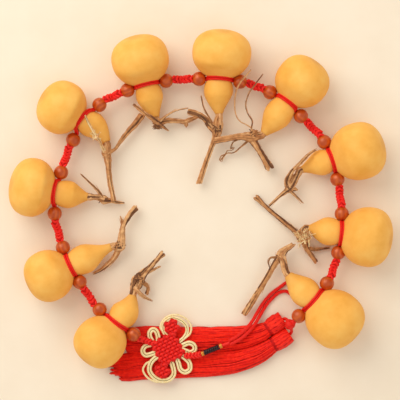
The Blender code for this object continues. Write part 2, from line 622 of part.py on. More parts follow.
def keep_out_block(centre, cords, finish, parent):
    """A block over a woven square, grown by the gap, to cut the gold loops clear of it."""
    reach = (cords / 2 * WEAVE_PITCH + 2 * GAP) * 2
    block = bmesh.new()
    bmesh.ops.create_cube(block, size=1.0)
    turn = Matrix.Rotation(WEAVE_HEADING, 4, "Z")
    place = Matrix.Translation(Vector((*centre, WEAVE_Z)) * MM)
    size = Matrix.Diagonal((reach * MM, reach * MM, BLOCK_HEIGHT * MM, 1))
    bmesh.ops.transform(block, matrix=place @ turn @ size, verts=block.verts)
    return make_object("block", block, finish, parent)


def paired_section(_, angle):
    """Two round strands side by side, seen end on."""
    return GOLD_STRAND_RADIUS * (PAIR_HEIGHT + (PAIR_WIDTH - PAIR_HEIGHT) * math.cos(angle) ** 2)


def gold_loop(name, pair, outer, finish, parent):
    routes = [(pair, paired_section)]
    if outer:
        routes.append((outer, lambda *_: GOLD_STRAND_RADIUS))
    pieces = []
    for points, section in routes:
        centres = smooth_route([(x, y, GOLD_Z) for x, y in points], GOLD_STEP)
        shape = skin(rings_round(centres, GOLD_SIDES, section))
        pieces.append(make_object(f"gold_loop_{name}", shape, finish, parent))
    loop = combine(pieces[0], pieces[1:], "UNION") if outer else pieces[0]
    blocks = [keep_out_block(WEAVE_CENTRE, WEAVE_CORDS, finish, parent)]
    blocks += [keep_out_block(centre, LOBE_CORDS, finish, parent) for centre in LOBE_CENTRES]
    blocks += [arm(points, finish, parent, grown=1.5 * GAP) for points in (WEST_ARM, EAST_ARM)]
    return combine(loop, blocks, "DIFFERENCE")


def sleeve(name, start, end, radius, finish, parent):
    """A short tube round the cord's core."""
    way = (end - start).normalized()
    outer = rings_round([start, end], SLEEVE_SIDES, lambda *_: radius)
    bore = rings_round([start - way, end + way], SLEEVE_SIDES, lambda *_: SLEEVE_BORE)
    body = make_object(name, skin(outer), finish, parent)
    cutter = make_object("bore", skin(bore), finish, parent)
    return combine(body, [cutter], "DIFFERENCE")


def wrapped_band(dark, gold, parent):
    """A dark thread wrap between two gold rings."""
    start = Vector(BAND_START)
    end = Vector(BAND_END)
    way = (end - start).normalized()
    first = start + way * (RING_LENGTH + GAP)
    last = end - way * (RING_LENGTH + GAP)
    sleeve("gold_ring_1", start, start + way * RING_LENGTH, RING_RADIUS, gold, parent)
    sleeve("dark_wrap", first, last, WRAP_RADIUS, dark, parent)
    sleeve("gold_ring_2", end - way * RING_LENGTH, end, RING_RADIUS, gold, parent)


def loop_route():
    """The hanging loop's own middle line: out beside the core, round the turn and back."""
    middle = [Vector(p) for p in LOOP_MIDDLE]
    sides = [side for side, _ in cross_frames(middle)]
    out = [p - side * LOOP_HALF_SPACING for p, side in zip(middle, sides)]
    back = [p + side * LOOP_HALF_SPACING for p, side in zip(middle, sides)]
    return smooth_route([*out, *LOOP_TURN, *reversed(back)], LOOP_STEP)


def hanging_loop(finish, parent):
    curve = bpy.data.curves.new("hanging_loop", "CURVE")
    curve.dimensions = "3D"
    curve.bevel_depth = LOOP_RADIUS * MM
    curve.bevel_resolution = 2
    curve.use_fill_caps = True
    curve.materials.append(finish)
    route = loop_route()
    spline = curve.splines.new("POLY")
    spline.points.add(len(route) - 1)
    for point, place in zip(spline.points, route):
        point.co = (*(place * MM), 1.0)
    made = bpy.data.objects.new("hanging_loop", curve)
    made.parent = parent
    bpy.context.scene.collection.objects.link(made)


def bundle_rings(points, relief, seed):
    """Flattened rings resting on the surface, with raised ridges along the top."""
    rng = random.Random(seed)
    centres = [plan(p) for p in points]
    sides = [side for side, _ in cross_frames(centres)]
    rings = []
    count = 2 * SKIRT_RIDGES
    last = len(points) - 1
    ways = tangents(centres)
    for i, (centre, side, (_, _, half, thick)) in enumerate(zip(centres, sides, points)):
        ring = []
        for k in range(count + 1):
            a = math.pi * k / count
            ridge = relief * (1 if k % 2 else -1) * math.sin(a)
            ragged = rng.uniform(SKIRT_SHORTEST, SKIRT_LONGEST) if i == last and relief else 0.0
            height = max(LEAST_HEIGHT, (thick - relief) * math.sin(a) ** BUNDLE_ROUNDNESS + ridge)
            top = Vector((0, 0, TASSEL_FLOOR + height))
            ring.append(centre + side * half * math.cos(a) + ways[i] * ragged + top)
        for way in (-1, 1):
            ring.append(centre + side * way * half * BUNDLE_FOOT + Vector((0, 0, TASSEL_FLOOR)))
        rings.append(ring)
    return rings


def tassel(number, cap_points, skirt_points, finish, parent):
    """A bound head and a skirt of long threads, lying flat."""
    make_object(f"tassel_head_{number}", skin(bundle_rings(cap_points, 0.0, number)), finish, parent)
    make_object(f"tassel_skirt_{number}", skin(bundle_rings(skirt_points, SKIRT_RELIEF, number)), finish, parent)


def button_knot(finish, parent):
    """A ball of crossing cord with raised turns, and a tail down to each tassel's head."""
    shape = bmesh.new()
    bmesh.ops.create_uvsphere(shape, u_segments=10, v_segments=6, radius=BUTTON_RADIUS * MM)
    for corner in shape.verts:
        way = corner.co.normalized()
        turn = math.atan2(way.y, way.x)
        corner.co *= 1 + BUTTON_RELIEF * math.cos(4 * turn + 3 * way.z)
    bmesh.ops.translate(shape, vec=Vector(BUTTON_KNOT) * MM, verts=shape.verts)
    knot = make_object("button_knot", shape, finish, parent)
    tails = []
    for points in BUTTON_TAILS:
        tail = skin(rings_round([Vector(p) for p in points], STRAND_SIDES, lambda *_: TAIL_RADIUS))
        tails.append(make_object("tail", tail, finish, parent))
    return combine(knot, tails, "UNION")


def main():
    for old in list(bpy.data.objects):
        bpy.data.objects.remove(old)
    string = bpy.data.objects.new("gourd_string", None)
    string.location = (-LAYOUT_CENTRE[0] * MM, -LAYOUT_CENTRE[1] * MM, 0)
    bpy.context.scene.collection.objects.link(string)
    skin_finish = material("gourd skin", (0.87, 0.50, 0.11), 0.35)
    stalk_finish = material("dry stalk", (0.42, 0.24, 0.11), 0.85)
    bead_finish = material("polished wood", (0.42, 0.12, 0.03), 0.3)
    red_finish = material("red cord", (0.70, 0.01, 0.01), 0.75)
    gold_finish = material("gold cord", (0.89, 0.72, 0.35), 0.5)
    brass_finish = material("gold ring", (0.80, 0.45, 0.15), 0.35, 0.9)
    wrap_finish = material("dark thread", (0.03, 0.01, 0.01), 0.5)
    tassel_finish = material("tassel thread", (0.82, 0.01, 0.01), 0.6)

    lifts = [CROWN_LIFT] * (len(GOURDS) - 1) + [RAISED_CROWN_LIFT]
    gourds = [
        Gourd(row, BEADS[2 * i : 2 * i + 2], lift, NECK_Z + lift - CROWN_LIFT)
        for i, (row, lift) in enumerate(zip(GOURDS, lifts))
    ]
    for i, gourd in enumerate(gourds, 1):
        make_object(f"gourd_{i:02}", gourd_shell(gourd), skin_finish, string)
        stalk(i, STALKS[i - 1], gourd, stalk_finish, string)

    centres = bead_centres(gourds)
    axes = bead_axes(centres)
    turned = make_object("bead_01", bead_mesh(), bead_finish, string)
    place_bead(turned, centres[0], axes[0])
    for i in range(1, len(centres)):
        bead = make_object(f"bead_{i + 1:02}", turned.data, bead_finish, string)
        place_bead(bead, centres[i], axes[i])
    strand_cord(gourds, centres, axes, red_finish, string)

    woven_knot(red_finish, string)
    for name, pair, outer in GOLD_LOOPS:
        gold_loop(name, pair, outer, gold_finish, string)
    wrapped_band(wrap_finish, brass_finish, string)
    hanging_loop(red_finish, string)
    for number, (cap, skirt) in enumerate(TASSELS, 1):
        tassel(number, cap, skirt, tassel_finish, string)
    button_knot(red_finish, string)


main()
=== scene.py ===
"""Ten dried bottle gourds tied on one red cord, with beads, a woven knot and two tassels.

Lengths are in millimetres in the layout's own coordinates, as in the part's source: +X right,
+Y up the ring, +Z away from the surface. spot() turns a layout point to metres in the frame.
"""

import math
import random

import bmesh
import bpy
from mathutils import Matrix, Vector, noise


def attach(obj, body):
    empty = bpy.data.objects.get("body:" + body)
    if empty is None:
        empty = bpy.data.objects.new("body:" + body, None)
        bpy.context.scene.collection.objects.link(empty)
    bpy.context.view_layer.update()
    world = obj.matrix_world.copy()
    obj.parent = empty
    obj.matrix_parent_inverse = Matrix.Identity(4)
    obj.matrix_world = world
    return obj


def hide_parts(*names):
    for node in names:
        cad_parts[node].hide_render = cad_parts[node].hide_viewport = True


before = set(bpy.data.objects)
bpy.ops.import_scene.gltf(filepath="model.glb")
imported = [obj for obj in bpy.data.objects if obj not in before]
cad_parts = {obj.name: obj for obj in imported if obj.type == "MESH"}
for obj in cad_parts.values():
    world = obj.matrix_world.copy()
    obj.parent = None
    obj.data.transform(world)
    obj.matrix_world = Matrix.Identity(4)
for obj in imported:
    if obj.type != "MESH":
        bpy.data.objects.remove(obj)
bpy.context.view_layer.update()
scene = bpy.context.scene

MM = 0.001
LAYOUT_CENTRE = Vector((0.6, -4.6, 0.0))
UP = Vector((0, 0, 1))


def spot(point):
    return (Vector(point[:3]) - LAYOUT_CENTRE) * MM


# Camera, floor and light
CAMERA_HEIGHT = 1.0
FRAME_WIDTH = 0.28
SENSOR = 36.0

camera = bpy.data.objects.new("camera", bpy.data.cameras.new("camera"))
camera.location = (*spot((0, 0, 0)).to_2d(), CAMERA_HEIGHT)
camera.data.sensor_width = SENSOR
camera.data.lens = SENSOR * CAMERA_HEIGHT / FRAME_WIDTH
camera.data.clip_start = 0.01
scene.collection.objects.link(camera)
scene.camera = camera


def soft_light(name, place, size, power, colour):
    lamp = bpy.data.lights.new(name, "AREA")
    lamp.shape = "DISK"
    lamp.size = size
    lamp.energy = power
    lamp.color = colour
    made = bpy.data.objects.new(name, lamp)
    made.location = place
    made.rotation_euler = Vector(place).to_track_quat("Z", "Y").to_euler()
    scene.collection.objects.link(made)


# A large window high on the left, and a weak bounce from the right
soft_light("window", (-0.62, 0.68, 0.86), 1.20, 9.4, (1.0, 0.975, 0.94))
soft_light("bounce", (0.80, -0.50, 0.90), 1.10, 1.4, (1.0, 0.96, 0.91))
scene.world = bpy.data.worlds.new("studio")
scene.world.use_nodes = True
sky = scene.world.node_tree.nodes["Background"].inputs
sky["Color"].default_value = (1.0, 0.975, 0.945, 1.0)
sky["Strength"].default_value = 0.70
scene.view_settings.view_transform = "Standard"


# Materials
def linear(code):
    """A hex sRGB colour as linear RGBA."""
    parts = [int(code[i : i + 2], 16) / 255 for i in (1, 3, 5)]
    return (*(p / 12.92 if p <= 0.04045 else ((p + 0.055) / 1.055) ** 2.4 for p in parts), 1.0)


def per_mm(size):
    """A texture's scale for features of this size, on coordinates in metres."""
    return 1 / (size * MM)


def add(tree, kind, inputs=None, links=None, stops=None, **settings):
    """A node with its settings, socket values and links; stops are a ramp's places and hex colours."""
    made = tree.nodes.new(kind)
    for name, value in settings.items():
        setattr(made, name, value)
    for name, value in (inputs or {}).items():
        made.inputs[name].default_value = value
    for name, source in (links or {}).items():
        tree.links.new(source, made.inputs[name])
    if stops:
        ramp = made.color_ramp
        while len(ramp.elements) < len(stops):
            ramp.elements.new(0.5)
        for element, (place, code) in zip(ramp.elements, stops):
            element.position = place
            element.color = linear(code)
    return made


def new_material(name, roughness, **sockets):
    """A material and its tree, with its plain values on the shader's own sockets."""
    made = bpy.data.materials.new(name)
    made.use_nodes = True
    shader = made.node_tree.nodes["Principled BSDF"]
    shader.inputs["Roughness"].default_value = roughness
    for socket, value in sockets.items():
        shader.inputs[socket.replace("_", " ")].default_value = value
    return made, made.node_tree, shader


def fine_material(name, low, high, grain, roughness, relief, detail=3.0, crumble=0.5, edges=(0.35, 0.65),
                  strength=0.5, **sockets):
    """Two close colours in specks of one grain, with the same specks raised."""
    made, tree, shader = new_material(name, roughness, **sockets)
    place = add(tree, "ShaderNodeTexCoord")
    specks = add(tree, "ShaderNodeTexNoise", {"Scale": per_mm(grain), "Detail": detail, "Roughness": crumble},
                 {"Vector": place.outputs["Object"]})
    colour = add(tree, "ShaderNodeValToRGB", None, {"Fac": specks.outputs["Fac"]},
                 stops=((edges[0], low), (edges[1], high)))
    bump = add(tree, "ShaderNodeBump", {"Strength": strength, "Distance": relief * MM},
               {"Height": specks.outputs["Fac"]})
    tree.links.new(colour.outputs["Color"], shader.inputs["Base Color"])
    tree.links.new(bump.outputs["Normal"], shader.inputs["Normal"])
    return made


def gourd_rind():
    """Gourd shell, dried hard, scraped and rubbed: amber yellow and satin, browner at the scar and the neck.

    The blotches that drying leaves are 10 to 20 mm wide. The pores are under 0.5 mm, too fine to show, and
    are drawn at 1.6 mm.
    """
    made, tree, shader = new_material("dried gourd rind", 0.55, Specular_IOR_Level=0.22)
    place = add(tree, "ShaderNodeTexCoord")
    patches = add(tree, "ShaderNodeTexNoise", {"Scale": per_mm(14.0), "Detail": 4.0, "Roughness": 0.55},
                  {"Vector": place.outputs["Object"]})
    shell = add(tree, "ShaderNodeValToRGB", None, {"Fac": patches.outputs["Fac"]},
                stops=((0.25, "#EFA944"), (0.5, "#F8B754"), (0.75, "#FCC464")))
    along = add(tree, "ShaderNodeAttribute", attribute_name="along")
    end = add(tree, "ShaderNodeValToRGB", None, {"Fac": along.outputs["Fac"]},
              stops=((0.0, "#909090"), (0.008, "#303030"), (0.02, "#000000"), (0.86, "#000000"),
                     (1.0, "#9A9A9A")))
    shaded = add(tree, "ShaderNodeMix", {"B": linear("#B9702F")},
                 {"Factor": end.outputs["Color"], "A": shell.outputs["Color"]}, data_type="RGBA")
    specks = add(tree, "ShaderNodeTexNoise", {"Scale": per_mm(1.6), "Detail": 5.0},
                 {"Vector": place.outputs["Object"]})
    bump = add(tree, "ShaderNodeBump", {"Strength": 0.12, "Distance": 0.25 * MM},
               {"Height": specks.outputs["Fac"]})
    tree.links.new(shaded.outputs["Result"], shader.inputs["Base Color"])
    tree.links.new(bump.outputs["Normal"], shader.inputs["Normal"])
    return made


def bead_wood():
    """Red-brown hardwood, turned and varnished: growth lines under a clear coat with a warm, broad shine.

    The wood's own lines lie about 1 mm apart, too fine to show, and are drawn at 2.8 mm, which is a third
    of the wave's size.
    """
    made, tree, shader = new_material("polished bead wood", 0.36, Specular_IOR_Level=1.0,
                                      Specular_Tint=linear("#FFC090"), Coat_Weight=0.6, Coat_Roughness=0.36,
                                      Coat_Tint=linear("#FFCFA0"))
    own = add(tree, "ShaderNodeAttribute", attribute_name="own")
    grain = add(tree, "ShaderNodeTexWave", {"Scale": per_mm(9.0), "Distortion": 3.0, "Detail": 2.0,
                                            "Detail Scale": 1.5},
                {"Vector": own.outputs["Vector"]}, bands_direction="Y")
    colour = add(tree, "ShaderNodeValToRGB", None, {"Fac": grain.outputs["Fac"]},
                 stops=((0.0, "#AC460E"), (0.5, "#B85012"), (1.0, "#C66018")))
    tree.links.new(colour.outputs["Color"], shader.inputs["Base Color"])
    return made


RIND = gourd_rind()
WOOD = bead_wood()
# Vine stem, air-dried until its bark splits: dull, tan to brown, its tone changing every 3 mm or so; the dark
# tone is also painted shade on each limb's core, which shows in the cracks between its fibres
BARK = [
    fine_material(name, low, high, 3.0, 0.85, 0.3, detail=4.0, crumble=0.55, edges=(0.3, 0.62), strength=0.4)
    for name, low, high in (
        ("tan stem fibre", "#BC8450", "#E6B47C"), ("brown stem fibre", "#A4683A", "#CE935A"),
        ("dark stem fibre and crack shade", "#54301A", "#845430"), ("pale straw", "#DDB878", "#F6E0AC"),
    )
]
# The filaments of cord and thread are under 0.05 mm, so each grain below is drawn coarse, at 0.5 to 2 mm
# Nylon cord, braided and pulled tight: a strong red with a low satin shine
RED_CORD = fine_material("braided nylon cord", "#D8140A", "#F4220E", 0.5, 0.55, 0.12, Specular_IOR_Level=0.3)
# The same nylon laid softer for knotting, in two copies: the brighter on its upper courses, and a deeper one
# as painted shade on those that cross under
WOVEN_CORDS = [fine_material("knotting cord", "#E2100A", "#FA2412", 0.5, 0.5, 0.12, Specular_IOR_Level=0.35),
               fine_material("crossing cord in painted shade", "#C00A06", "#E0140C", 0.5, 0.55, 0.12, Specular_IOR_Level=0.3)]
# Rayon, spun and combed into tassels: silky, in three tones that vary from thread to thread; the deep tone is
# also painted shade along the grooves between locks, inside the bundles, on the bindings and in the cores of
# the knotted cord
THREADS = [fine_material("bright rayon thread", "#F02010", "#FF3216", 2.0, 0.5, 0.05, Specular_IOR_Level=0.3),
           fine_material("rayon thread", "#DC160A", "#F0200E", 2.0, 0.5, 0.05, Specular_IOR_Level=0.3),
           fine_material("deep rayon thread and painted shade", "#B00A06", "#CE120A", 2.0, 0.55, 0.05, Specular_IOR_Level=0.2)]
# Flat cord wound with metallised film: pale gold with a slight gleam; the dark olive strand in its groove is
# painted shade
GOLD_CORD = [fine_material("flat metallic cord", "#EED08A", "#FBE8B6", 0.8, 0.4, 0.1, Metallic=0.15),
             fine_material("painted groove shade on metallic cord", "#665610", "#8E7C2C", 0.8, 0.5, 0.1, Metallic=0.15)]
# Waxed thread, wound tight: nearly black, with small glints on its turns
DARK_THREAD = fine_material("waxed dark thread", "#12060A", "#3A161A", 0.6, 0.25, 0.1)
# Brass, pressed, gilt and polished: warm and bright, a little uneven from wear
RING_METAL = fine_material("gilt brass", "#C97A2C", "#F0AE58", 0.8, 0.3, 0.1, Metallic=0.9)
# Matt paper, coated and rolled out: cream, with a faint cloudiness about 30 mm wide
PAPER = fine_material("cream paper backdrop", "#F4E4CB", "#F7E8D0", 30.0, 0.9, 0.05)

floor_shape = bmesh.new()
bmesh.ops.create_grid(floor_shape, x_segments=1, y_segments=1, size=2.0)
floor_mesh = bpy.data.meshes.new("backdrop")
floor_shape.to_mesh(floor_mesh)
floor_shape.free()
floor_mesh.materials.append(PAPER)
backdrop = bpy.data.objects.new("backdrop", floor_mesh)
scene.collection.objects.link(backdrop)


# Routes
def between(a, b, share):
    return a + (b - a) * share


def ease(share):
    """A smooth step from 0 to 1, held beyond its ends."""
    share = min(1.0, max(0.0, share))
    return share * share * (3 - 2 * share)


def circle(count):
    """Even angles, once round."""
    return [2 * math.pi * i / count for i in range(count)]


def around(side, up, angle):
    """The direction at this angle from side, turned towards up."""
    return side * math.cos(angle) + up * math.sin(angle)


def smooth_route(points, step):
    """Points about one step apart on a smooth curve through the given ones, of three or four values."""
    route = [Vector(p) for p in points]
    ends = [2 * route[0] - route[1], *route, 2 * route[-1] - route[-2]]
    found = []
    for before, start, end, after in zip(ends, ends[1:], ends[2:], ends[3:]):
        count = max(1, round((end - start).to_3d().length / step))
        for i in range(count):
            t = i / count
            found.append(
                0.5 * (2 * start + (end - before) * t + (2 * before - 5 * start + 4 * end - after) * t**2
                       + (3 * start - before - 3 * end + after) * t**3)
            )
    return [*found, route[-1]]


def cross_frames(route):
    """The way on, the side and the up direction at each point of a route, without twist along it."""
    centres = [p.to_3d() for p in route]
    last = len(centres) - 1
    frames = []
    up = UP
    for i in range(last + 1):
        way = (centres[min(i + 1, last)] - centres[max(i - 1, 0)]).normalized()
        side = way.cross(up)
        if side.length < 0.1:
            side = way.orthogonal()
        side.normalize()
        up = side.cross(way).normalized()
        frames.append((way, side, up))
    return frames


def with_radius(points, radius):
    return [(*p.to_3d(), radius) for p in points]


def beside(route, across, above=0.0):
    """A route of three or four values moved to its side and upwards."""
    return [Vector((*(p.to_3d() + side * across + up * above), *p[3:]))
            for p, (_, side, up) in zip(route, cross_frames(route))]


# How much thicker the plies of a cord are than round ones that just touch
PLY_SQUEEZE = 1.12


def plies(route, radius, count, pitch, step=None):
    """The routes of the plies that twist into a cord of this radius, in turns of one pitch."""
    thick = radius * math.sin(math.pi / count) / (1 + math.sin(math.pi / count)) * PLY_SQUEEZE
    fine = smooth_route(route, step or pitch / 7)
    frames = cross_frames(fine)
    found = []
    for angle in circle(count):
        ply = []
        for i, (p, (_, side, up)) in enumerate(zip(fine, frames)):
            if i:
                angle += 2 * math.pi * (p.to_3d() - fine[i - 1].to_3d()).length / pitch
            ply.append((*(p.to_3d() + around(side, up, angle) * (radius - thick)), thick))
        found.append(ply)
    return found


# Pieces
def spun(profile, turns):
    """A bmesh of points (x, radius) turned round the X axis, as a ring where they stay off the axis."""
    shape = bmesh.new()
    verts = [shape.verts.new((x, radius, 0.0)) for x, radius in profile]
    following = verts[1:] + verts[:1] if profile[0][1] else verts[1:]
    edges = [shape.edges.new(pair) for pair in zip(verts, following)]
    bmesh.ops.spin(shape, geom=[*verts, *edges], cent=(0, 0, 0), axis=(1, 0, 0), angle=2 * math.pi,
                   steps=turns, use_merge=True)
    bmesh.ops.remove_doubles(shape, verts=shape.verts, dist=1e-4)
    return shape


def finish_piece(name, shape, replaced, materials):
    """The finished object of a bmesh, riding on the one body."""
    bmesh.ops.recalc_face_normals(shape, faces=shape.faces)
    mesh = bpy.data.meshes.new(name)
    shape.to_mesh(mesh)
    shape.free()
    mesh.shade_smooth()
    mesh.set_sharp_from_angle(angle=math.radians(55))
    for each in materials:
        mesh.materials.append(each)
    made = bpy.data.objects.new(name, mesh)
    scene.collection.objects.link(made)
    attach(made, "root")
    if replaced:
        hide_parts(*replaced)
    return made


def strands(name, routes, replaced, materials, sides=6, closed=False):
    """One piece of round strands. Each is a route of points (x, y, z, radius) and its material's number."""
    curve = bpy.data.curves.new(name, "CURVE")
    curve.dimensions = "3D"
    curve.bevel_depth = MM
    curve.bevel_resolution = sides // 2 - 2
    curve.use_fill_caps = not closed
    for each in materials:
        curve.materials.append(each)
    for points, finish in routes:
        line = curve.splines.new("POLY")
        line.points.add(len(points) - 1)
        line.points.foreach_set("co", [value for p in points for value in (*spot(p), 1.0)])
        line.points.foreach_set("radius", [p[3] for p in points])
        line.use_cyclic_u = closed
        line.material_index = finish
    guide = bpy.data.objects.new(name + "_guide", curve)
    scene.collection.objects.link(guide)
    seen = guide.evaluated_get(bpy.context.evaluated_depsgraph_get())
    rough = bpy.data.meshes.new_from_object(seen)
    shape = bmesh.new()
    shape.from_mesh(rough)
    bpy.data.objects.remove(guide)
    bpy.data.curves.remove(curve)
    bpy.data.meshes.remove(rough)
    bmesh.ops.remove_doubles(shape, verts=shape.verts, dist=1e-7)
    return finish_piece(name, shape, replaced, materials)


# Hanging loop: the middle line between its two strands, then the turn that lies under the last crown
# The cord is 0.3 mm thicker here than in the source, on the same line
LOOP_RADIUS = 1.3
LOOP_CORE = 0.72
LOOP_PLIES = 4
LOOP_PITCH = 5.2
LOOP_HALF_SPACING = 1.35
LOOP_STEP = 5.0
LOOP_MIDDLE = (
    (20.4, -99, 8.8), (26, -96, 9), (32, -91.2, 8.8), (37.4, -85, 6.8), (42.2, -77.4, 2.6),
    (46.6, -71, 1.4), (52, -65.4, 1.3),
)
LOOP_TURN = (
    (56.4, -60.6), (61, -57.4), (66, -56.4), (70.4, -58.8), (71.4, -62.8), (68.8, -66.2), (64.4, -66.4),
    (60.4, -63.8), (56, -64.4),
)


def hanging_loop():
    """The loop that the string hangs by: a limp cord out of the band, round a turn and back."""
    middle = [Vector(p) for p in LOOP_MIDDLE]
    out = beside(middle, -LOOP_HALF_SPACING)
    back = beside(middle, LOOP_HALF_SPACING)
    turn = [(x, y, LOOP_RADIUS) for x, y in LOOP_TURN]
    coarse = smooth_route([*out, *turn, *reversed(back)], LOOP_STEP)
    core = with_radius(coarse, LOOP_RADIUS * LOOP_CORE)
    routes = [(core, 0)] + [(ply, 0) for ply in plies(coarse, LOOP_RADIUS, LOOP_PLIES, LOOP_PITCH)]
    made = strands("hanging_loop_cord", routes, ["hanging_loop"], [RED_CORD])


hanging_loop()

# Gourds: belly middle x, y; half length along the axis; half width; crown x, y; crown radius; neck end x, y
FLAT_DEPTH = 0.45
WAIST_RADIUS = 5.9
NECK_Z = 9.0
LOBE_BLEND = 6
NECK_GROWTH = 8.0
NECK_BEND = 0.45
CROWN_LIFT = 0.3
RAISED_CROWN_LIFT = 2.9
GOURDS = (
    (-68.7, -97.7, 17.7, 17.7, -52.7, -79, 9.9, -46.7, -65.9),
    (-104.3, -52.1, 16.5, 17.8, -80.4, -40.9, 10.3, -61.8, -32.6),
    (-115.2, 8.6, 15.8, 20.2, -90.8, 3.8, 9.7, -77.9, 2.2),
    (-94.3, 63.1, 17.5, 18.5, -75.6, 52.6, 9.4, -65.2, 40.3),
    (-41, 96.4, 17.2, 19.8, -35, 72.1, 9.5, -31.2, 57.4),
    (14.8, 100.8, 16.6, 20.2, 12.7, 76.1, 10.3, 13.2, 60),
    (70, 81.3, 17.8, 18.5, 53.9, 59, 10, 44.3, 46.3),
    (109.6, 33.6, 18, 19.8, 84.4, 25.9, 9.2, 70.8, 21.1),
    (115.6, -25.4, 16.8, 20.6, 88.4, -21.6, 10, 75.2, -19.9),
    (92.6, -81.6, 19.9, 19.9, 72.5, -63.6, 10.4, 61.1, -52.1),
)
# Beads, two for each gourd: middle x, y; height above the waist's axis
BEAD_RADIUS = 5.0
BORE_RADIUS = 2.3
# The bore's rounded mouth: how far in from the lip, and how much narrower
BORE_MOUTH = ((0.05, 0.2), (0.5, 0.4))
BEAD_STATIONS = 9
BEAD_TURNS = 32
BEADS = (
    (-46, -92.9, 0), (-69.4, -75.7, 0),
    (-83.2, -56.6, 0), (-94.7, -32.8, 0),
    (-100.4, -9.4, 0), (-96, 19.1, 0),
    (-87.8, 41.6, 0), (-69.5, 65.8, 1.6),
    (-50.1, 75.9, 0), (-23.4, 82.4, 0),
    (-0.7, 83.7, 0), (27.7, 81.7, 0.8),
    (48.4, 74.5, -0.5), (69.7, 57.9, 0),
    (85.9, 40.2, 0), (95, 14.4, 0),
    (97.9, -9.5, 0), (95.5, -36.4, 0),
    (87.5, -57.5, 0), (68.1, -80, 0),
)
GOURD_TURNS = 56
GOURD_STATIONS = 56
BELLY_SQUARENESS = 2.05
BELLY_END_SQUARENESS = 2.4
# The belly's end is a little flatter here than in the source
BELLY_END = 0.955
BELLY_FRONT = 0.965
CROWN_EASE = 3.2
CROWN_ROUNDNESS = 0.75
CROWN_NECK_FADE = 5.0
# The neck's rounded end: how far past it, and the share of its radius there
NECK_CAP = ((0.4, 0.8), (0.5, 0.0))
DENT_SIZE = 24.0
DENT_DEPTH = 0.022
# How far the waist lies back from the line of its beads, how hollow the neck is, and the radius of its end
NECKS = (
    (0, 1.2, 2.7), (0.5, 2, 2.9), (2.5, 1.4, 2.7), (4, 1.2, 3.4), (0.5, 1.5, 3.3),
    (1, 1.2, 2.8), (2, 1.2, 2.9), (0.5, 1.5, 2.5), (0.5, 1.3, 2.7), (0, 1.2, 3.2),
)


def plan(point):
    return Vector((point[0], point[1], 0.0))


class Gourd:
    """One gourd's axis and profile, worked out from its row of the layout and of the necks."""

    def __init__(self, row, beads, crown_lift, neck_row):
        x, y, self.half_length, self.half_width, crown_x, crown_y, self.crown_radius, neck_x, neck_y = row
        self.crown = Vector((crown_x, crown_y, self.crown_radius + crown_lift))
        tilt = math.atan2(self.half_width - self.crown.z, math.hypot(crown_x - x, crown_y - y))
        lowest = math.hypot(self.half_length * math.sin(tilt), self.half_width * math.cos(tilt))
        self.belly = Vector((x, y, lowest - FLAT_DEPTH))
        self.neck = Vector((neck_x, neck_y, NECK_Z + crown_lift - CROWN_LIFT))
        self.axis = (self.crown - self.belly).normalized()
        self.to_crown = (self.crown - self.belly).length
        self.to_neck = self.to_crown + (self.neck - self.crown).length
        middle = (plan(beads[0]) + plan(beads[1])) / 2 - plan(self.belly)
        self.to_waist = middle.dot(plan(self.axis)) / plan(self.axis).length_squared
        self.waist = self.belly + self.axis * self.to_waist
        back, self.hollow, self.neck_radius = neck_row
        self.groove = self.to_waist - back
        self.flat_way = plan(self.axis).normalized()

    def centre(self, along):
        if along <= self.to_crown:
            return self.belly + self.axis * along
        length = self.to_neck - self.to_crown
        share = (along - self.to_crown) / length
        bend = self.crown + self.axis * length * NECK_BEND
        return between(between(self.crown, bend, share), between(bend, self.neck, share), share)

    def radius(self, along):
        """Belly and crown as lobes that meet in the groove, and beyond the crown its taper to the stalk."""
        if along >= self.to_crown:
            past = min(1.0, (along - self.to_crown) / (self.to_neck - self.to_crown))
            taper = math.cos(math.pi / 2 * past) ** between(1, self.hollow, ease(2 * past))
            return self.neck_radius + (self.crown_radius - self.neck_radius) * taper
        reach = self.half_length * BELLY_END if along < 0 else self.groove / BELLY_FRONT
        power = BELLY_END_SQUARENESS if along < 0 else BELLY_SQUARENESS
        belly = self.half_width * max(0.0, 1 - (abs(along) / reach) ** power) ** (1 / power)
        behind = max(self.crown_radius, (self.to_crown - self.groove) / CROWN_ROUNDNESS)
        crown = self.crown_radius * math.sqrt(max(0.0, 1 - ((self.to_crown - along) / behind) ** 2))
        grown = min(1.0, max(0.0, (along - self.groove + NECK_GROWTH) / NECK_GROWTH))
        neck = grown * WAIST_RADIUS * max(0.0, min(1.0, (self.to_crown - along) / CROWN_NECK_FADE))
        return (belly**LOBE_BLEND + crown**LOBE_BLEND + neck**LOBE_BLEND) ** (1 / LOBE_BLEND)

    def eased_radius(self, along):
        """The radius, evened out over a short reach beyond the groove, where the shell has no edge."""
        share = ease((along - self.groove) / (self.to_crown - self.groove))
        reach = min(CROWN_EASE * share, max(0.0, self.to_neck - along))
        return sum(self.radius(along + reach * i / 3) for i in range(-3, 4)) / 7

    def way(self, along):
        """The direction square to a cut through the shell: level at the groove, the axis's away from it."""
        if along > self.to_crown:
            return (self.centre(along + 0.1) - self.centre(along)).normalized()
        span = self.groove if along < self.groove else self.to_crown - self.groove
        return between(self.axis, self.flat_way, ease(1 - abs(along - self.groove) / span)).normalized()

    def reach_over(self, along, clear):
        """How far from the axis a cord lies when it drops into the groove with this much round its middle."""
        steps = [clear * i / 8 for i in range(-8, 9)]
        return max(self.radius(along + d) + math.sqrt(clear**2 - d**2) for d in steps)


gourds = [Gourd(row, BEADS[2 * i : 2 * i + 2], RAISED_CROWN_LIFT if i == 9 else CROWN_LIFT, NECKS[i])
          for i, row in enumerate(GOURDS)]


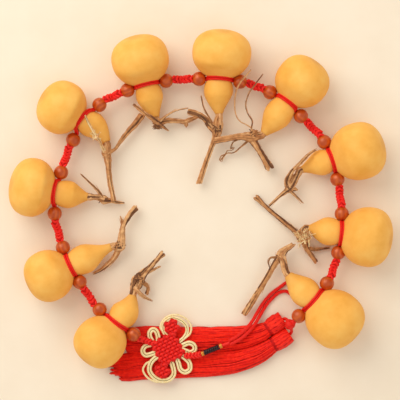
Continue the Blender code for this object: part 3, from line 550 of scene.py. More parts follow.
def gourd_piece(number, gourd):
    """The profile spun round its axis, then bent along it and dented a little as a grown thing is."""
    rounding = [-gourd.half_length * BELLY_END * math.cos(math.radians(a)) for a in range(0, 100, 5)]
    rest = gourd.to_neck - rounding[-1]
    line = [*rounding, *(rounding[-1] + rest * (i + 1) / GOURD_STATIONS for i in range(GOURD_STATIONS))]
    profile = [(along, gourd.eased_radius(along)) for along in line]
    profile[0] = (profile[0][0], 0.0)
    profile += [(gourd.to_neck + past, gourd.neck_radius * share) for past, share in NECK_CAP]
    shape = spun(profile, GOURD_TURNS)
    along_layer = shape.verts.layers.float.new("along")
    for corner in shape.verts:
        along = corner.co.x
        way = gourd.way(min(along, gourd.to_neck - 0.2))
        side = way.cross(UP).normalized()
        up = side.cross(way)
        past = max(0.0, along - gourd.to_neck)
        offset = side * corner.co.y + up * corner.co.z
        dent = 1 + DENT_DEPTH * noise.noise((gourd.centre(min(along, gourd.to_neck)) + offset) / DENT_SIZE)
        place = gourd.centre(min(along, gourd.to_neck)) + way * past + offset * dent
        place.z = max(place.z, 0.0)
        corner.co = spot(place)
        corner[along_layer] = (along - line[0]) / (gourd.to_neck - line[0])
    finish_piece(f"dried_gourd_{number:02}", shape, [f"gourd_{number:02}"], [RIND])


for number, gourd in enumerate(gourds, 1):
    gourd_piece(number, gourd)

# Beads
bead_centres = [Vector((x, y, gourds[i // 2].waist.z + rise)) for i, (x, y, rise) in enumerate(BEADS)]


def bead_way(i):
    """The cord's direction through a bead: between the way to its gourd and the way to the next span."""
    turn = 1 if i % 2 == 0 else -1
    over_waist = (bead_centres[i ^ 1] - bead_centres[i]).normalized() * turn
    if i in (0, len(bead_centres) - 1):
        return over_waist
    neighbour = bead_centres[i - 1] if i % 2 == 0 else bead_centres[i + 1]
    along_span = (bead_centres[i] - neighbour).normalized() * turn
    return plan(over_waist + along_span).normalized()


bead_ways = [bead_way(i) for i in range(len(bead_centres))]


def bead_piece(number, centre, way):
    """A turned ball with a rounded bore, its grain running across it."""
    end = math.acos(BORE_RADIUS / BEAD_RADIUS)
    angles = [end * i / BEAD_STATIONS for i in range(-BEAD_STATIONS, BEAD_STATIONS + 1)]
    outer = [(BEAD_RADIUS * math.sin(a), BEAD_RADIUS * math.cos(a)) for a in angles]
    mouth = [(outer[-1][0] - inwards, BORE_RADIUS - narrower) for inwards, narrower in BORE_MOUTH]
    far_mouth = [(-x, radius) for x, radius in reversed(mouth)]
    shape = spun([*outer, *mouth, (0, mouth[-1][1]), *far_mouth], BEAD_TURNS)
    own = shape.verts.layers.float_vector.new("own")
    turned = Matrix.Rotation(math.atan2(way.y, way.x), 3, "Z")
    roll = Matrix.Rotation(number * 2.4, 3, "X")
    for corner in shape.verts:
        corner[own] = (roll @ corner.co + Vector((0, 30.0 * number, 0))) * MM
        corner.co = spot(centre + turned @ corner.co)
    finish_piece(f"turned_bead_{number:02}", shape, [f"bead_{number:02}"], [WOOD])


for i, (centre, way) in enumerate(zip(bead_centres, bead_ways)):
    bead_piece(i + 1, centre, way)

# Main cord
STRAND_CLEAR = 0.9
STRAND_SPLIT = 0.95
STRAND_LIFT = 0.3
STRAND_ANGLES = (150, 110, 70, 30)
STRAND_DRIFT = 0.2
STRAND_END = 5.0
THIN_RADIUS = 0.8
SPAN_START = 5.0
SPAN_SAG = 3.5
SPAN_LEAD = 1.6
KNOT_PITCH = 2.55
KNOT_RING = 2.1
KNOT_CORD = 0.88
KNOT_CORE = 1.7
KNOT_SLANT = 0.5
KNOT_CREASE = 0.3
KNOT_FLATNESS = 0.94
ARM_RING = 1.6
ARM_CORE = 1.3


def waist_routes(gourd, beads, ways, side):
    """Two thin strands side by side from bead to bead, over the waist or under it."""
    across = plan(beads[1] - beads[0]).normalized()
    groove = gourd.centre(gourd.groove)
    skews = [(bead - groove).dot(gourd.flat_way) for bead in beads]
    found = []
    for part in (-1, 1):
        aside = plan(gourd.axis) * part * THIN_RADIUS + UP * side * STRAND_SPLIT
        start, end = ([bead + way * reach * STRAND_END + aside for reach in (-1, 0, 1)]
                      for bead, way in zip(beads, ways))
        arc = []
        for angle in STRAND_ANGLES:
            a = math.radians(angle)
            shift = STRAND_DRIFT * math.cos(a) ** 2 * skews[0 if angle > 90 else 1]
            reach = gourd.reach_over(gourd.groove + shift, STRAND_CLEAR) + STRAND_LIFT
            arc.append(groove + gourd.flat_way * (shift + part * THIN_RADIUS)
                       + around(across, UP * side, a) * reach)
        found.append(with_radius(smooth_route([*start, *arc, *end], 1.2), THIN_RADIUS))
    return found


def knotted_rings(start, start_way, end, end_way):
    """The knotted cord between two beads, and the strand inside it, whose deep tone is painted shade in the
    gaps between the turns.
    """
    first = start + start_way * SPAN_START
    last = end - end_way * SPAN_START
    sag = between(first, last, 0.5) - UP * SPAN_SAG
    line = smooth_route((first, first + start_way * SPAN_LEAD, sag, last - end_way * SPAN_LEAD, last), 0.25)
    return turns_round(line), with_radius(line, KNOT_CORE)


def turns_round(line, ring_radius=KNOT_RING):
    """Closed turns of cord round a line of close points, each a chevron with a crease down its middle."""
    frames = cross_frames(line)
    length = sum((b - a).length for a, b in zip(line, line[1:]))
    count = max(1, round(length / KNOT_PITCH))
    rings = []
    for k in range(count + 1):
        place = round(k * (len(line) - 1) / count)
        way, side, up = frames[place]
        ring = []
        for a in circle(24):
            offset = around(side, up * KNOT_FLATNESS, a) * (1 - KNOT_CREASE * abs(math.sin(a)) ** 4)
            offset += way * KNOT_SLANT * math.cos(2 * a)
            ring.append((*(line[place] + offset * ring_radius), KNOT_CORD))
        rings.append(ring)
    return rings


def main_cord():
    open_routes = []
    rings = []
    for i, gourd in enumerate(gourds):
        pair = slice(2 * i, 2 * i + 2)
        for side in (1, -1):
            found = waist_routes(gourd, bead_centres[pair], bead_ways[pair], side)
            open_routes += [(route, 0) for route in found]
    for i in range(1, len(bead_centres) - 1, 2):
        found, core = knotted_rings(bead_centres[i], bead_ways[i], bead_centres[i + 1], bead_ways[i + 1])
        rings += found
        # The core is in the deep thread tone: painted shade in the gaps between the knotted turns
        open_routes.append((core, 1))
    strands("waist_cord", open_routes, ["strand_cord"], [RED_CORD, THREADS[2]], sides=8)
    strands("knotted_spans", [(ring, 0) for ring in rings], [], WOVEN_CORDS, sides=8, closed=True)


main_cord()

# Dry stalks: for each gourd, limbs of points (x, y, z, radius), the first limb going on from the neck
# The last limbs of the seventh and of the eighth are small forms that the source leaves out
STALKS = (
    (
        ((-43, -56, 9, 4.5), (-39.5, -51.5, 8.5, 3), (-34.5, -46.5, 7.5, 2), (-29, -40.5, 7, 1.7),
         (-26, -37.5, 7, 2.4)),
        ((-41.5, -53, 8.5, 1.6), (-34.5, -49.5, 7, 1.1), (-28.5, -46.5, 6.5, 0.7)),
        ((-46, -60, 10, 1.6), (-42.5, -63.5, 12.5, 1.4), (-39, -67, 11, 1.2), (-34, -69.5, 9, 0.6)),
        ((-42.5, -56, 8.5, 1.8), (-36.5, -60, 7, 1.3), (-37, -65, 6.5, 1.3)),
    ),
    (
        ((-56, -32.5, 9, 3.8), (-54.5, -29, 8, 3.2), (-54, -21, 7.5, 2), (-52, -15.5, 7, 1.9),
         (-48, -9, 6.5, 2.2), (-44.5, -5.5, 6, 2.3)),
        ((-53.5, -19, 7, 1.3), (-54.5, -14, 8, 0.9), (-55, -12, 8.5, 0.5)),
        ((-56.5, -34, 8.5, 2.3), (-60, -40.5, 6, 1.8), (-67.5, -47.5, 4, 1.3), (-73.5, -51, 2.5, 0.9)),
    ),
    (
        ((-73, 2, 8, 1.9), (-69.5, 1.5, 7, 2.4), (-66.5, 0, 6, 3), (-63, -0.5, 5, 1.8),
         (-58.5, -1.5, 3, 1.2), (-54, -2, 2.5, 0.8)),
        ((-67, 0.5, 6.5, 1.5), (-71.5, 7, 8, 1), (-77.5, 13, 9.5, 0.7), (-82, 17.5, 11, 0.5)),
    ),
    (
        ((-65, 34, 9, 3.5), (-64, 28.5, 8, 2.7), (-63.5, 22, 8, 1.9), (-62.5, 12.5, 8.5, 1.9),
         (-61, 5.5, 9, 1.7), (-60, 0, 10, 1.8)),
        ((-65, 33, 8.5, 2.4), (-59.5, 35, 8, 1.2), (-55.5, 40.5, 7, 1.5), (-50, 47.5, 6.5, 1.9),
         (-45, 53, 5.5, 2.3), (-40.5, 59, 5, 2.4)),
        ((-66, 34, 10, 1.9), (-68, 37.5, 14, 1.2), (-69, 40.5, 17.5, 1.1), (-71, 43.5, 20.5, 1.1),
         (-74, 48.5, 22.5, 1.1), (-76.5, 53, 23.5, 1.1), (-78, 56.5, 26, 0.8)),
    ),
    (
        ((-30, 54.5, 9, 3.5), (-27.5, 54, 8, 2.6), (-24, 55, 7, 2.2), (-17.5, 55, 6, 1.8),
         (-11, 54.5, 5, 1.7), (-7, 56, 4, 1.7), (-3, 57.5, 3.5, 1.3)),
        ((-29, 53.5, 8.5, 2.2), (-29.5, 50.5, 7, 2.1)),
        ((-10, 54.5, 5, 1.3), (-9.5, 52, 4, 1.4)),
        ((-46, 66, 14.5, 0.9), (-41.5, 62.5, 15, 1.3), (-36.5, 58.5, 15.5, 1.6), (-32.5, 56, 14.5, 1.8),
         (-28.5, 53, 11.5, 1.6), (-22.5, 48.5, 9.5, 0.6)),
        ((-28, 54.5, 9.5, 1.2), (-22, 59, 11.5, 0.6), (-16, 62, 11.5, 0.5), (-9.5, 63.5, 11, 0.5)),
    ),
    (
        ((13, 56.5, 9, 3), (12, 48.5, 8.5, 3.9), (11, 44.5, 8, 2.5), (8.5, 38, 7, 1.8), (4, 25.5, 6, 1.8),
         (-0.5, 12, 5, 2.1)),
        ((11.5, 47, 8.5, 2.6), (6.5, 51.5, 9, 2.3), (3.5, 56, 10, 2.2), (-2, 59.5, 10.5, 2.1),
         (-7.5, 61, 11, 2.2)),
        ((10.5, 50, 9.5, 1), (5.5, 58.5, 13.5, 0.5), (2.5, 64, 15, 0.5), (1, 71, 13.5, 0.5)),
    ),
    (
        ((40, 44.5, 9, 2.8), (36, 43.5, 9, 3.9), (27.5, 44, 10.5, 2.3), (19.5, 42.5, 11.5, 2.2),
         (10.5, 41, 13, 2.3)),
        ((35.5, 43, 8.5, 3.2), (39.5, 37, 8, 2.4), (44, 30, 6.5, 2.3), (48.5, 22.5, 5.5, 3)),
        ((35.5, 45, 11, 1.4), (35.5, 49.5, 12.5, 0.6), (32, 52, 13.5, 0.5), (27.5, 54.5, 14, 0.5),
         (24.5, 60, 15, 0.5), (24, 69, 17, 0.5), (25.5, 76.5, 19.5, 0.5), (29.5, 83, 23.5, 0.5),
         (34, 88, 26, 0.5)),
        ((35.5, 49.5, 12.5, 0.6), (36, 54.5, 14.5, 0.5), (33, 59.5, 15, 0.5), (31.5, 66, 16, 0.5),
         (33.5, 73, 17.5, 0.5), (36.5, 77.5, 18.5, 0.5), (42.5, 85.5, 19.5, 0.5)),
        ((34, 41.5, 8, 1), (28.5, 37, 6.5, 0.6), (23.5, 33, 5, 0.5), (18.5, 32.5, 4, 0.5),
         (15, 28.5, 3, 0.5)),
        ((31, 42.5, 8, 0.4), (26, 41.5, 7.5, 0.35), (22.5, 39.5, 7, 0.35), (21.5, 36, 6, 0.35),
         (24, 36.5, 6, 0.3), (22, 34.5, 5.5, 0.3), (19, 34.5, 5, 0.3), (17.5, 32, 4.5, 0.3),
         (15, 31, 4, 0.3), (13.5, 28, 3.5, 0.3), (15.5, 27, 3.5, 0.3), (16, 29.5, 3.5, 0.3)),
    ),
    (
        ((67, 16, 8.5, 2.2), (65.5, 13, 8, 2.4), (62, 8, 7.5, 3), (59.5, 6, 7, 1.9), (54, 1.5, 7, 1.1),
         (48.5, -3.5, 7.5, 0.9)),
        ((62, 8.5, 8, 2.6), (60.5, 13, 9, 2.3), (63.5, 19.5, 12, 1.5), (69, 25.5, 15.5, 1.2),
         (75, 31.5, 16.5, 1), (79.5, 34.5, 16, 0.8)),
        ((62, 7, 7, 1.4), (67, 2.5, 6.5, 0.8), (71, -1.5, 6, 0.5)),
        ((62.5, 8.5, 7.5, 1.9), (66.5, 7.5, 7, 1.5)),
        ((62.3, 9.5, 8, 2.2), (63, 13.5, 8.5, 2.1), (64.6, 17, 9.2, 1.3)),
    ),
    (
        ((71.5, -22, 9, 3), (70.5, -25, 8.5, 4.3), (70.5, -27, 7.5, 3.2), (66, -21.5, 5.5, 1.9),
         (57.5, -14.5, 4.5, 1.7), (47.5, -6, 3, 1.5), (42, -0.5, 3, 1.9), (39.5, 2, 3, 2.4)),
        ((72, -27, 8, 3), (74, -33, 6.5, 1.9), (77, -38, 6, 1.6), (80.5, -42.5, 5, 1.6)),
        ((74.5, -33, 6, 1.5), (79.5, -34.5, 4, 1.3), (84.5, -34, 3, 1.1), (89.5, -33.5, 3, 0.9)),
    ),
    (
        ((58.5, -47, 10.5, 2.6), (57.5, -42.5, 10, 2.6), (56, -38.5, 9, 3.5), (59, -34.5, 9, 2.4),
         (62.5, -32.5, 8.5, 1.9), (64.5, -31, 8.5, 1.7)),
        ((56, -39.5, 9, 2.7), (52, -44.5, 8, 2.1), (46, -55, 7, 2), (38.5, -67.5, 5.5, 2.1),
         (31, -79, 4.5, 2.2)),
        ((54, -40, 9, 1.2), (49.5, -40, 8.5, 0.6), (47.5, -42.5, 8, 0.5), (48, -45.5, 7.5, 0.5)),
    ),
)
FIBRE_OVERLAP = 1.55
FIBRE_STEP = 1.3
FIBRE_ROUGHNESS = 0.2
FIBRE_SWELLING = 0.45
# A limb that is thinner than this has this many fibres
FIBRE_COUNTS = ((0.9, 4), (2.0, 7), (math.inf, 9))
CORE_SHARE = 0.62
LOOSE_FIBRE = 0.16
LOOSE_POINTS = 7
LOOSE_LIFT = 1.1
# The stalk's foot: how far past the neck's end, and its radius
STALK_FOOT = ((-0.8, 2.2), (0.6, 2.6), (1.8, 2.6))
TAN, BROWN, DARK, STRAW = range(4)
LIMB_TONES = (TAN, TAN, BROWN, BROWN, BROWN, DARK)
PALE_TONES = (STRAW, STRAW, TAN)
PALE_LIMBS = ((4, 2),)
# Shaggy fibres at the nodes: stalk, middle x, y, z, reach, count, and the tones that they take
TUFTS = (
    (1, -41.5, -55.5, 12, 5, 44, (BROWN, BROWN, DARK)),
    (2, -56, -31.5, 11.5, 5, 40, (TAN, BROWN, DARK)),
    (3, -68.5, 0.5, 8, 3.5, 20, (BROWN, DARK)),
    (4, -64.5, 31, 11.5, 4, 16, (TAN, BROWN)),
    (4, -71.5, 44.5, 21.5, 5, 24, PALE_TONES),
    (5, -29, 51.5, 11.5, 4.5, 40, (BROWN, DARK, DARK)),
    (6, 12, 49.5, 11.5, 5, 50, (TAN, DARK, DARK)),
    (7, 37, 46.5, 12, 5, 44, (TAN, BROWN, DARK)),
    (8, 61.5, 8, 9.5, 4, 14, (BROWN, DARK)),
    (9, 72.5, -25.6, 12, 8.5, 130, (STRAW, STRAW, TAN, BROWN)),
    (10, 55, -40, 11.5, 4, 20, (TAN, BROWN, DARK)),
)


def limb_fibres(points, rng, tones):
    """A limb as the ridged fibres that it is made of, with ragged ends."""
    line = smooth_route(points, FIBRE_STEP)
    frames = cross_frames(line)
    thickest = max(p[3] for p in line)
    count = next(count for limit, count in FIBRE_COUNTS if thickest < limit)
    spread = FIBRE_OVERLAP * math.sin(math.pi / count)
    offset = 1 / (1 + spread)
    # The core is in the dark tone: painted shade in the cracks between the fibres
    found = [([(*p[:3], p[3] * CORE_SHARE) for p in line], DARK)]
    for angle in circle(count):
        angle += rng.uniform(-0.3, 0.3)
        twist = rng.uniform(-0.05, 0.09)
        seed = rng.uniform(0, 50)
        fibre = []
        for i, (p, (_, side, up)) in enumerate(zip(line, frames)):
            reach = p[3] * offset * (1 + FIBRE_ROUGHNESS * noise.noise(Vector((seed, i * 0.55, 0.0))))
            swelling = 1 + FIBRE_SWELLING * noise.noise(Vector((seed, i * 0.4, 9.0)))
            angle += twist
            fibre.append((*(p.to_3d() + around(side, up, angle) * reach), p[3] * offset * spread * swelling))
        tip = Vector(fibre[-1][:3]) + frames[-1][0] * rng.uniform(0.2, 1.6)
        fibre.append((*tip, fibre[-1][3] * rng.uniform(0.35, 0.8)))
        found.append((fibre, rng.choice(tones)))
    return found


def loose_fibres(points, rng, count):
    """Thin fibres that have split away along a limb, more and more towards their ends."""
    line = smooth_route(points, FIBRE_STEP)
    found = []
    for _ in range(count):
        start = rng.randrange(max(1, len(line) - LOOSE_POINTS + 1))
        out = Vector((rng.uniform(-1, 1), rng.uniform(-1, 1), rng.uniform(0.0, 0.8))).normalized()
        fibre = []
        for i, p in enumerate(line[start : start + LOOSE_POINTS]):
            away = p[3] * 0.95 + LOOSE_LIFT * (i / (LOOSE_POINTS - 1)) ** 2
            fibre.append((*(p.to_3d() + out * away), LOOSE_FIBRE * (1.3 - i / 8)))
        if len(fibre) > 2:
            found.append((fibre, rng.choice((TAN, BROWN))))
    return found


def tuft(middle, reach, count, tones, rng):
    """Short curled fibres round a node of the stalk."""
    found = []
    for _ in range(count):
        way = Vector((rng.gauss(0, 1), rng.gauss(0, 1), rng.gauss(0, 0.35))).normalized()
        turn = Vector((-way.y, way.x, rng.uniform(-0.3, 0.3))) * rng.uniform(-0.9, 0.9)
        aside = Vector((rng.uniform(-1, 1), rng.uniform(-1, 1), rng.uniform(-0.6, 0.4)))
        length = reach * rng.uniform(0.35, 0.95)
        thick = rng.uniform(0.28, 0.58)
        fibre = []
        for t in (0, 0.25, 0.5, 0.75, 1):
            place = middle + aside * reach * 0.4 + (way * (t - 0.3) + turn * 0.5 * t * t) * length
            fibre.append((*place, thick * (1 - 0.6 * t)))
        found.append((fibre, rng.choice(tones)))
    return found


def stalk_piece(number, limbs, gourd):
    """Every limb's fibres, and the tufts at the stalk's nodes."""
    rng = random.Random(number * 7 + 1)
    neck_way = (gourd.neck - gourd.centre(gourd.to_crown + gourd.crown_radius * 0.95)).normalized()
    foot = [(*(gourd.neck + neck_way * away), radius) for away, radius in STALK_FOOT]
    routes = []
    for i, limb in enumerate(limbs):
        points = [*foot, *limb] if i == 0 else limb
        routes += limb_fibres(points, rng, PALE_TONES if (number, i) in PALE_LIMBS else LIMB_TONES)
        routes += loose_fibres(points, rng, 2 + len(points) // 2)
    for owner, x, y, z, reach, count, tones in TUFTS:
        if owner == number:
            routes += tuft(Vector((x, y, z)), reach, count, tones, rng)
    strands(f"dry_stalk_{number:02}", routes, [f"stalk_{number:02}"], BARK)


for number, (limbs, gourd) in enumerate(zip(STALKS, gourds), 1):
    stalk_piece(number, limbs, gourd)

# Woven knot
WEAVE_CENTRE = (-22.2, -103.4)
WEAVE_HEADING = math.radians(28)
WEAVE_Z = 7.7
WEAVE_PITCH = 2.2
WEAVE_CORDS = 8
WEAVE_RADIUS = 1.05
WEAVE_RISE = 0.95
WEAVE_SINK = 0.15
LOBE_CORDS = 4
LOBE_CENTRES = ((-19.6, -88.4), (-26.2, -118.6))
WEAVE_REACH = 0.62
# A cord's turn at the end of a run, in three points: how far out, how far aside and how far down
WEAVE_TURN = ((0.7, 0.15, 0.5), (1.0, 0.5, 1.0), (0.7, 0.85, 1.5))
WEST_ARM = ((-41.2, -96.2, 10.6), (-37.5, -97.6, 9.0), (-33.0, -99.4, 7.9))
EAST_ARM = ((-9.6, -108.2, 7.8), (-3.6, -107.9, 8.3), (-0.4, -107.2, 8.6))
BAND_START = (0.9, -106.9, 8.6)
BAND_END = (15.3, -101.0, 8.6)
CORE_RADIUS = 1.0


def weave_routes(centre, cords):
    """Two cords laid to and fro at right angles, each over and under the other's runs in turn."""
    middle = Vector((*centre, WEAVE_Z))
    along = Vector((math.cos(WEAVE_HEADING), math.sin(WEAVE_HEADING), 0))
    across = Vector((-along.y, along.x, 0))
    half = (cords - 1) / 2 * WEAVE_PITCH
    found = []
    for way, other, turn in ((along, across, 1), (across, along, -1)):
        route = []
        for i in range(cords):
            run = []
            for j in range(4 * (cords - 1) + 1):
                at = j / 4
                wave = math.cos(math.pi * (at + i))
                rise = turn * (WEAVE_RISE * math.copysign(abs(wave) ** 0.6, wave) + WEAVE_SINK)
                run.append(middle + way * (at * WEAVE_PITCH - half) + other * (i * WEAVE_PITCH - half)
                           + UP * rise)
            forward = i % 2 == 0
            route += run if forward else run[::-1]
            run_end = route[-1]
            if i < cords - 1:
                out = way * WEAVE_REACH * (1 if forward else -1)
                down = UP * (WEAVE_Z - run_end.z)
                route += [run_end + (out * far + other * aside) * WEAVE_PITCH + down * low
                          for far, aside, low in WEAVE_TURN]
        # The crossing cord takes the deeper copy: painted shade on the courses that run under
        found.append((with_radius(route, WEAVE_RADIUS), 0 if turn > 0 else 1))
    return found


def knot_piece():
    """The woven square with its two lobes, and the doubled cord on both sides of it."""
    routes = weave_routes(WEAVE_CENTRE, WEAVE_CORDS)
    for centre in LOBE_CENTRES:
        routes += weave_routes(centre, LOBE_CORDS)
    core = smooth_route([EAST_ARM[-1], BAND_START, BAND_END, LOOP_MIDDLE[0]], 2.0)
    routes.append((with_radius(core, CORE_RADIUS), 0))
    leaving = [bead_centres[0] - bead_ways[0] * away for away in (4.6, 5.6)]
    turns = []
    for arm in ([*leaving, *WEST_ARM], EAST_ARM):
        line = smooth_route(arm, 0.25)
        # The arm's core is in the deep thread tone: painted shade in the gaps between its turns
        routes.append((with_radius(line[::3], ARM_CORE), 2))
        turns += [(ring, 0) for ring in turns_round(line, ARM_RING)]
    strands("woven_knot_cord", routes, ["woven_knot"], [*WOVEN_CORDS, THREADS[2]], sides=8)
    strands("woven_knot_turns", turns, [], WOVEN_CORDS, sides=8, closed=True)


knot_piece()

# Gold cord loops
GOLD_Z = 7.2
GOLD_FLATNESS = 0.62
GOLD_RADIUS = 0.92
TOP_GOLD_RADIUS = 0.72
OUTER_GOLD_RADIUS = 0.72
# As shares of a strand's radius: how far the pair lies apart, and the height and radius of the painted-shade
# strand in the groove
GOLD_SPACING = 0.9
GOLD_GROOVE = (0.5, 0.34)
GOLD_LOOPS = (
    ("top", ((-22, -95.5), (-25.2, -91.5), (-25.4, -86.8), (-22.6, -83.4), (-18.5, -82), (-13.2, -83.8),
     (-9.6, -87.3), (-9, -91.5), (-11, -95.5), (-14.5, -98.5)),
     ((-25.5, -92), (-27.6, -87.5), (-23.6, -81.6), (-17, -79.8), (-10.3, -82.1), (-6.4, -87.2), (-6.8, -92.6),
     (-11, -96.5))),
    ("left_top", ((-33, -98.5), (-34.9, -95), (-34.9, -91.9), (-32.9, -90), (-30.6, -91), (-29.2, -94.6),
     (-29, -98)), ()),
    ("left_low", ((-30, -99.6), (-34.5, -100.4), (-38.3, -101.8), (-39.8, -105), (-37.6, -107.8),
     (-32.6, -106.6), (-28, -104.5)), ()),
    ("bottom", ((-27, -107.5), (-31.8, -110.4), (-34.4, -113.8), (-35.1, -118.5), (-32.4, -122.7),
     (-27.3, -125.5), (-21.4, -124.8), (-18.2, -120.6), (-19.2, -114.6), (-21, -110.5)),
     ((-33, -111.5), (-37.6, -113.8), (-39.6, -118.4), (-36.2, -123.6), (-30.4, -126.4), (-26.6, -125.6))),
    ("right_low", ((-16.5, -109.5), (-14.9, -113.5), (-13.7, -117.6), (-10.5, -119.6), (-7.2, -117.8),
     (-7.3, -113.3), (-10, -110.2), (-13.5, -107.5)), ()),
    ("right", ((-15, -102.5), (-11, -100.6), (-7.4, -99.4), (-4.2, -101), (-3.8, -104.2), (-6.6, -106),
     (-9.6, -105), (-13.5, -103.5)), ()),
)


def gold_piece(name, pair, outer):
    """Two flat strands side by side with a dark strand between them as painted groove shade, and a third
    strand outside them.
    """
    line = smooth_route([(x, y, GOLD_Z) for x, y in pair], 0.8)
    radius = TOP_GOLD_RADIUS if name == "top" else GOLD_RADIUS
    rise, groove_radius = (radius * share for share in GOLD_GROOVE)
    routes = [(with_radius(beside(line, radius * aside), radius), 0)
              for aside in (-GOLD_SPACING, GOLD_SPACING)]
    # A dark strand in the groove between the pair: painted shade
    routes.append((with_radius(beside(line, 0.0, rise), groove_radius), 1))
    if outer:
        thin = smooth_route([(x, y, GOLD_Z) for x, y in outer], 0.8)
        routes.append((with_radius(thin, OUTER_GOLD_RADIUS), 0))
    made = strands(f"gold_cord_{name}", routes, [f"gold_loop_{name}"], GOLD_CORD, sides=8)
    for corner in made.data.vertices:
        corner.co.z = between(GOLD_Z * MM, corner.co.z, GOLD_FLATNESS)


for name, pair, outer in GOLD_LOOPS:
    gold_piece(name, pair, outer)

# Wrapped band: a ring's profile (x, radius) is rounded, with two fine grooves
RING_LENGTH = 2.0
RING_PROFILE = (
    (0, 1.3), (0, 1.65), (0.2, 1.85), (0.55, 1.85), (0.65, 1.72), (0.75, 1.85),
    (1.25, 1.85), (1.35, 1.72), (1.45, 1.85), (1.8, 1.85), (2, 1.65), (2, 1.3),
)
RING_TURNS = 28
RING_GAP = 0.3
WRAP_RADIUS = 2.0
WRAP_THREAD = 0.4
WRAP_PITCH = 0.78
WRAP_SIDES = 14


def band_ring(number, start, way):
    """A short gilt ring round the cord."""
    shape = spun(RING_PROFILE, RING_TURNS)
    turned = Matrix.Rotation(math.atan2(way.y, way.x), 3, "Z")
    for corner in shape.verts:
        corner.co = spot(start + turned @ corner.co)
    finish_piece(f"gilt_ring_{number}", shape, [f"gold_ring_{number}"], [RING_METAL])


def band_wrap(start, end, way):
    """Thread wound closely round the cord."""
    side = way.cross(UP).normalized()
    up = side.cross(way)
    steps = round((end - start).length / WRAP_PITCH * WRAP_SIDES)
    route = []
    for i in range(steps + 1):
        out = around(side, up, 2 * math.pi * i / WRAP_SIDES) * (WRAP_RADIUS - WRAP_THREAD)
        route.append((*(between(start, end, i / steps) + out), WRAP_THREAD))
    strands("wound_thread", [(route, 0)], ["dark_wrap"], [DARK_THREAD])


band_start, band_end = Vector(BAND_START), Vector(BAND_END)
band_way = (band_end - band_start).normalized()
band_ring(1, band_start, band_way)
band_ring(2, band_end - band_way * RING_LENGTH, band_way)
inset = band_way * (RING_LENGTH + RING_GAP)
band_wrap(band_start + inset, band_end - inset, band_way)

# Tassels: cap and skirt of each, as points (x, y, half width, thickness) from the cap's outer end
# The outer ends of the caps are a little wider and thicker here than in the source
TASSEL_FLOOR = 0.1
BUNDLE_ROUNDNESS = 0.6
FILL_STATIONS = 26
SKIRT_STATIONS = 24
SKIRT_THREADS = 320
SKIRT_LOCKS = 10
CAP_STATIONS = 10
CAP_THREADS = 64
CAP_PLEATS = 5
SKIRT_SPREAD = 1.06
CAP_SPREAD = 1.1
THREAD_SWAY = 0.035
GROOVE_DEPTH = 1.3
WISP_START = 0.86
WISP_GATHER = 0.75
# The inside's size as a share of the bundle's, and the radius of the threads over it
SKIRT_FILL = 0.8
SKIRT_THREAD = 0.36
CAP_FILL = 0.86
CAP_THREAD = 0.5
BINDING_PLACE = 0.93
BINDING_TURNS = 5
BINDING_THREAD = 0.42
TASSELS = (
    (
        ((57.6, -83, 4.8, 7.6), (55.6, -84.4, 5.2, 8.6), (51.6, -87.2, 5.3, 9), (48.4, -89.4, 4.6, 7.4)),
        ((47.6, -90, 4.6, 7.2), (42, -92.9, 6, 7.6), (30, -96.1, 7.4, 6.8), (15, -97.4, 8.1, 5.6),
         (0, -97.7, 8.3, 5), (-20, -97.7, 8.3, 4.8), (-40, -98, 8.2, 4.3), (-50, -98.6, 7.2, 3.4),
         (-56, -99.2, 6, 2.8)),
    ),
    (
        ((62.4, -93.8, 4.8, 7.6), (60.4, -95.2, 5.2, 8.6), (56.2, -98, 5.3, 9), (52.8, -100.3, 4.6, 7.4)),
        ((51.4, -100.8, 4.7, 7.2), (43.5, -106.2, 6, 7.6), (30, -111.6, 7.2, 6.8), (15, -114.2, 7.9, 5.6),
         (0, -114.9, 8.2, 5), (-20, -115.3, 8.4, 4.8), (-40, -115.9, 8.3, 4.4), (-52, -117.2, 8, 3.8),
         (-61, -118.4, 6.6, 2.8)),
    ),
)


def bundle_line(points, count):
    """Even stations along a bundle: middle on the surface, side, half width and thickness."""
    line = smooth_route(points, 1.0)
    lengths = [0.0]
    for a, b in zip(line, line[1:]):
        lengths.append(lengths[-1] + (b.to_2d() - a.to_2d()).length)
    found = []
    for i in range(count):
        want = lengths[-1] * i / (count - 1)
        j = max(1, next((j for j, reach in enumerate(lengths) if reach >= want - 1e-6), len(line) - 1))
        share = (want - lengths[j - 1]) / (lengths[j] - lengths[j - 1])
        found.append(between(line[j - 1], line[j], share))
    centres = [Vector((p[0], p[1], 0.0)) for p in found]
    return [(centre, side, way, p[2], p[3])
            for centre, p, (way, side, _) in zip(centres, found, cross_frames(centres))]


def bundle_body(name, points, shrink, replaced, finish):
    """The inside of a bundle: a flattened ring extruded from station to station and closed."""
    shape = bmesh.new()
    turn = shape.verts.layers.float.new("turn")
    ring = bmesh.ops.create_circle(shape, segments=32, radius=1.0)["verts"]
    for corner in ring:
        corner[turn] = math.atan2(corner.co.y, corner.co.x)
    first = edges = list(shape.edges)
    for i, (centre, side, way, half, thick) in enumerate(bundle_line(points, FILL_STATIONS)):
        if i:
            made = bmesh.ops.extrude_edge_only(shape, edges=edges)["geom"]
            ring = [e for e in made if isinstance(e, bmesh.types.BMVert)]
            edges = [e for e in made if isinstance(e, bmesh.types.BMEdge) and all(v in ring for v in e.verts)]
        for corner in ring:
            a = corner[turn]
            height = thick * shrink * abs(math.sin(a)) ** BUNDLE_ROUNDNESS if a > 0 else 0.0
            corner.co = spot(centre + side * half * shrink * math.cos(a)
                             + UP * (TASSEL_FLOOR + height + 0.1 * (a > 0)))
    bmesh.ops.holes_fill(shape, edges=[*first, *edges], sides=0)
    finish_piece(name, shape, replaced, [finish])


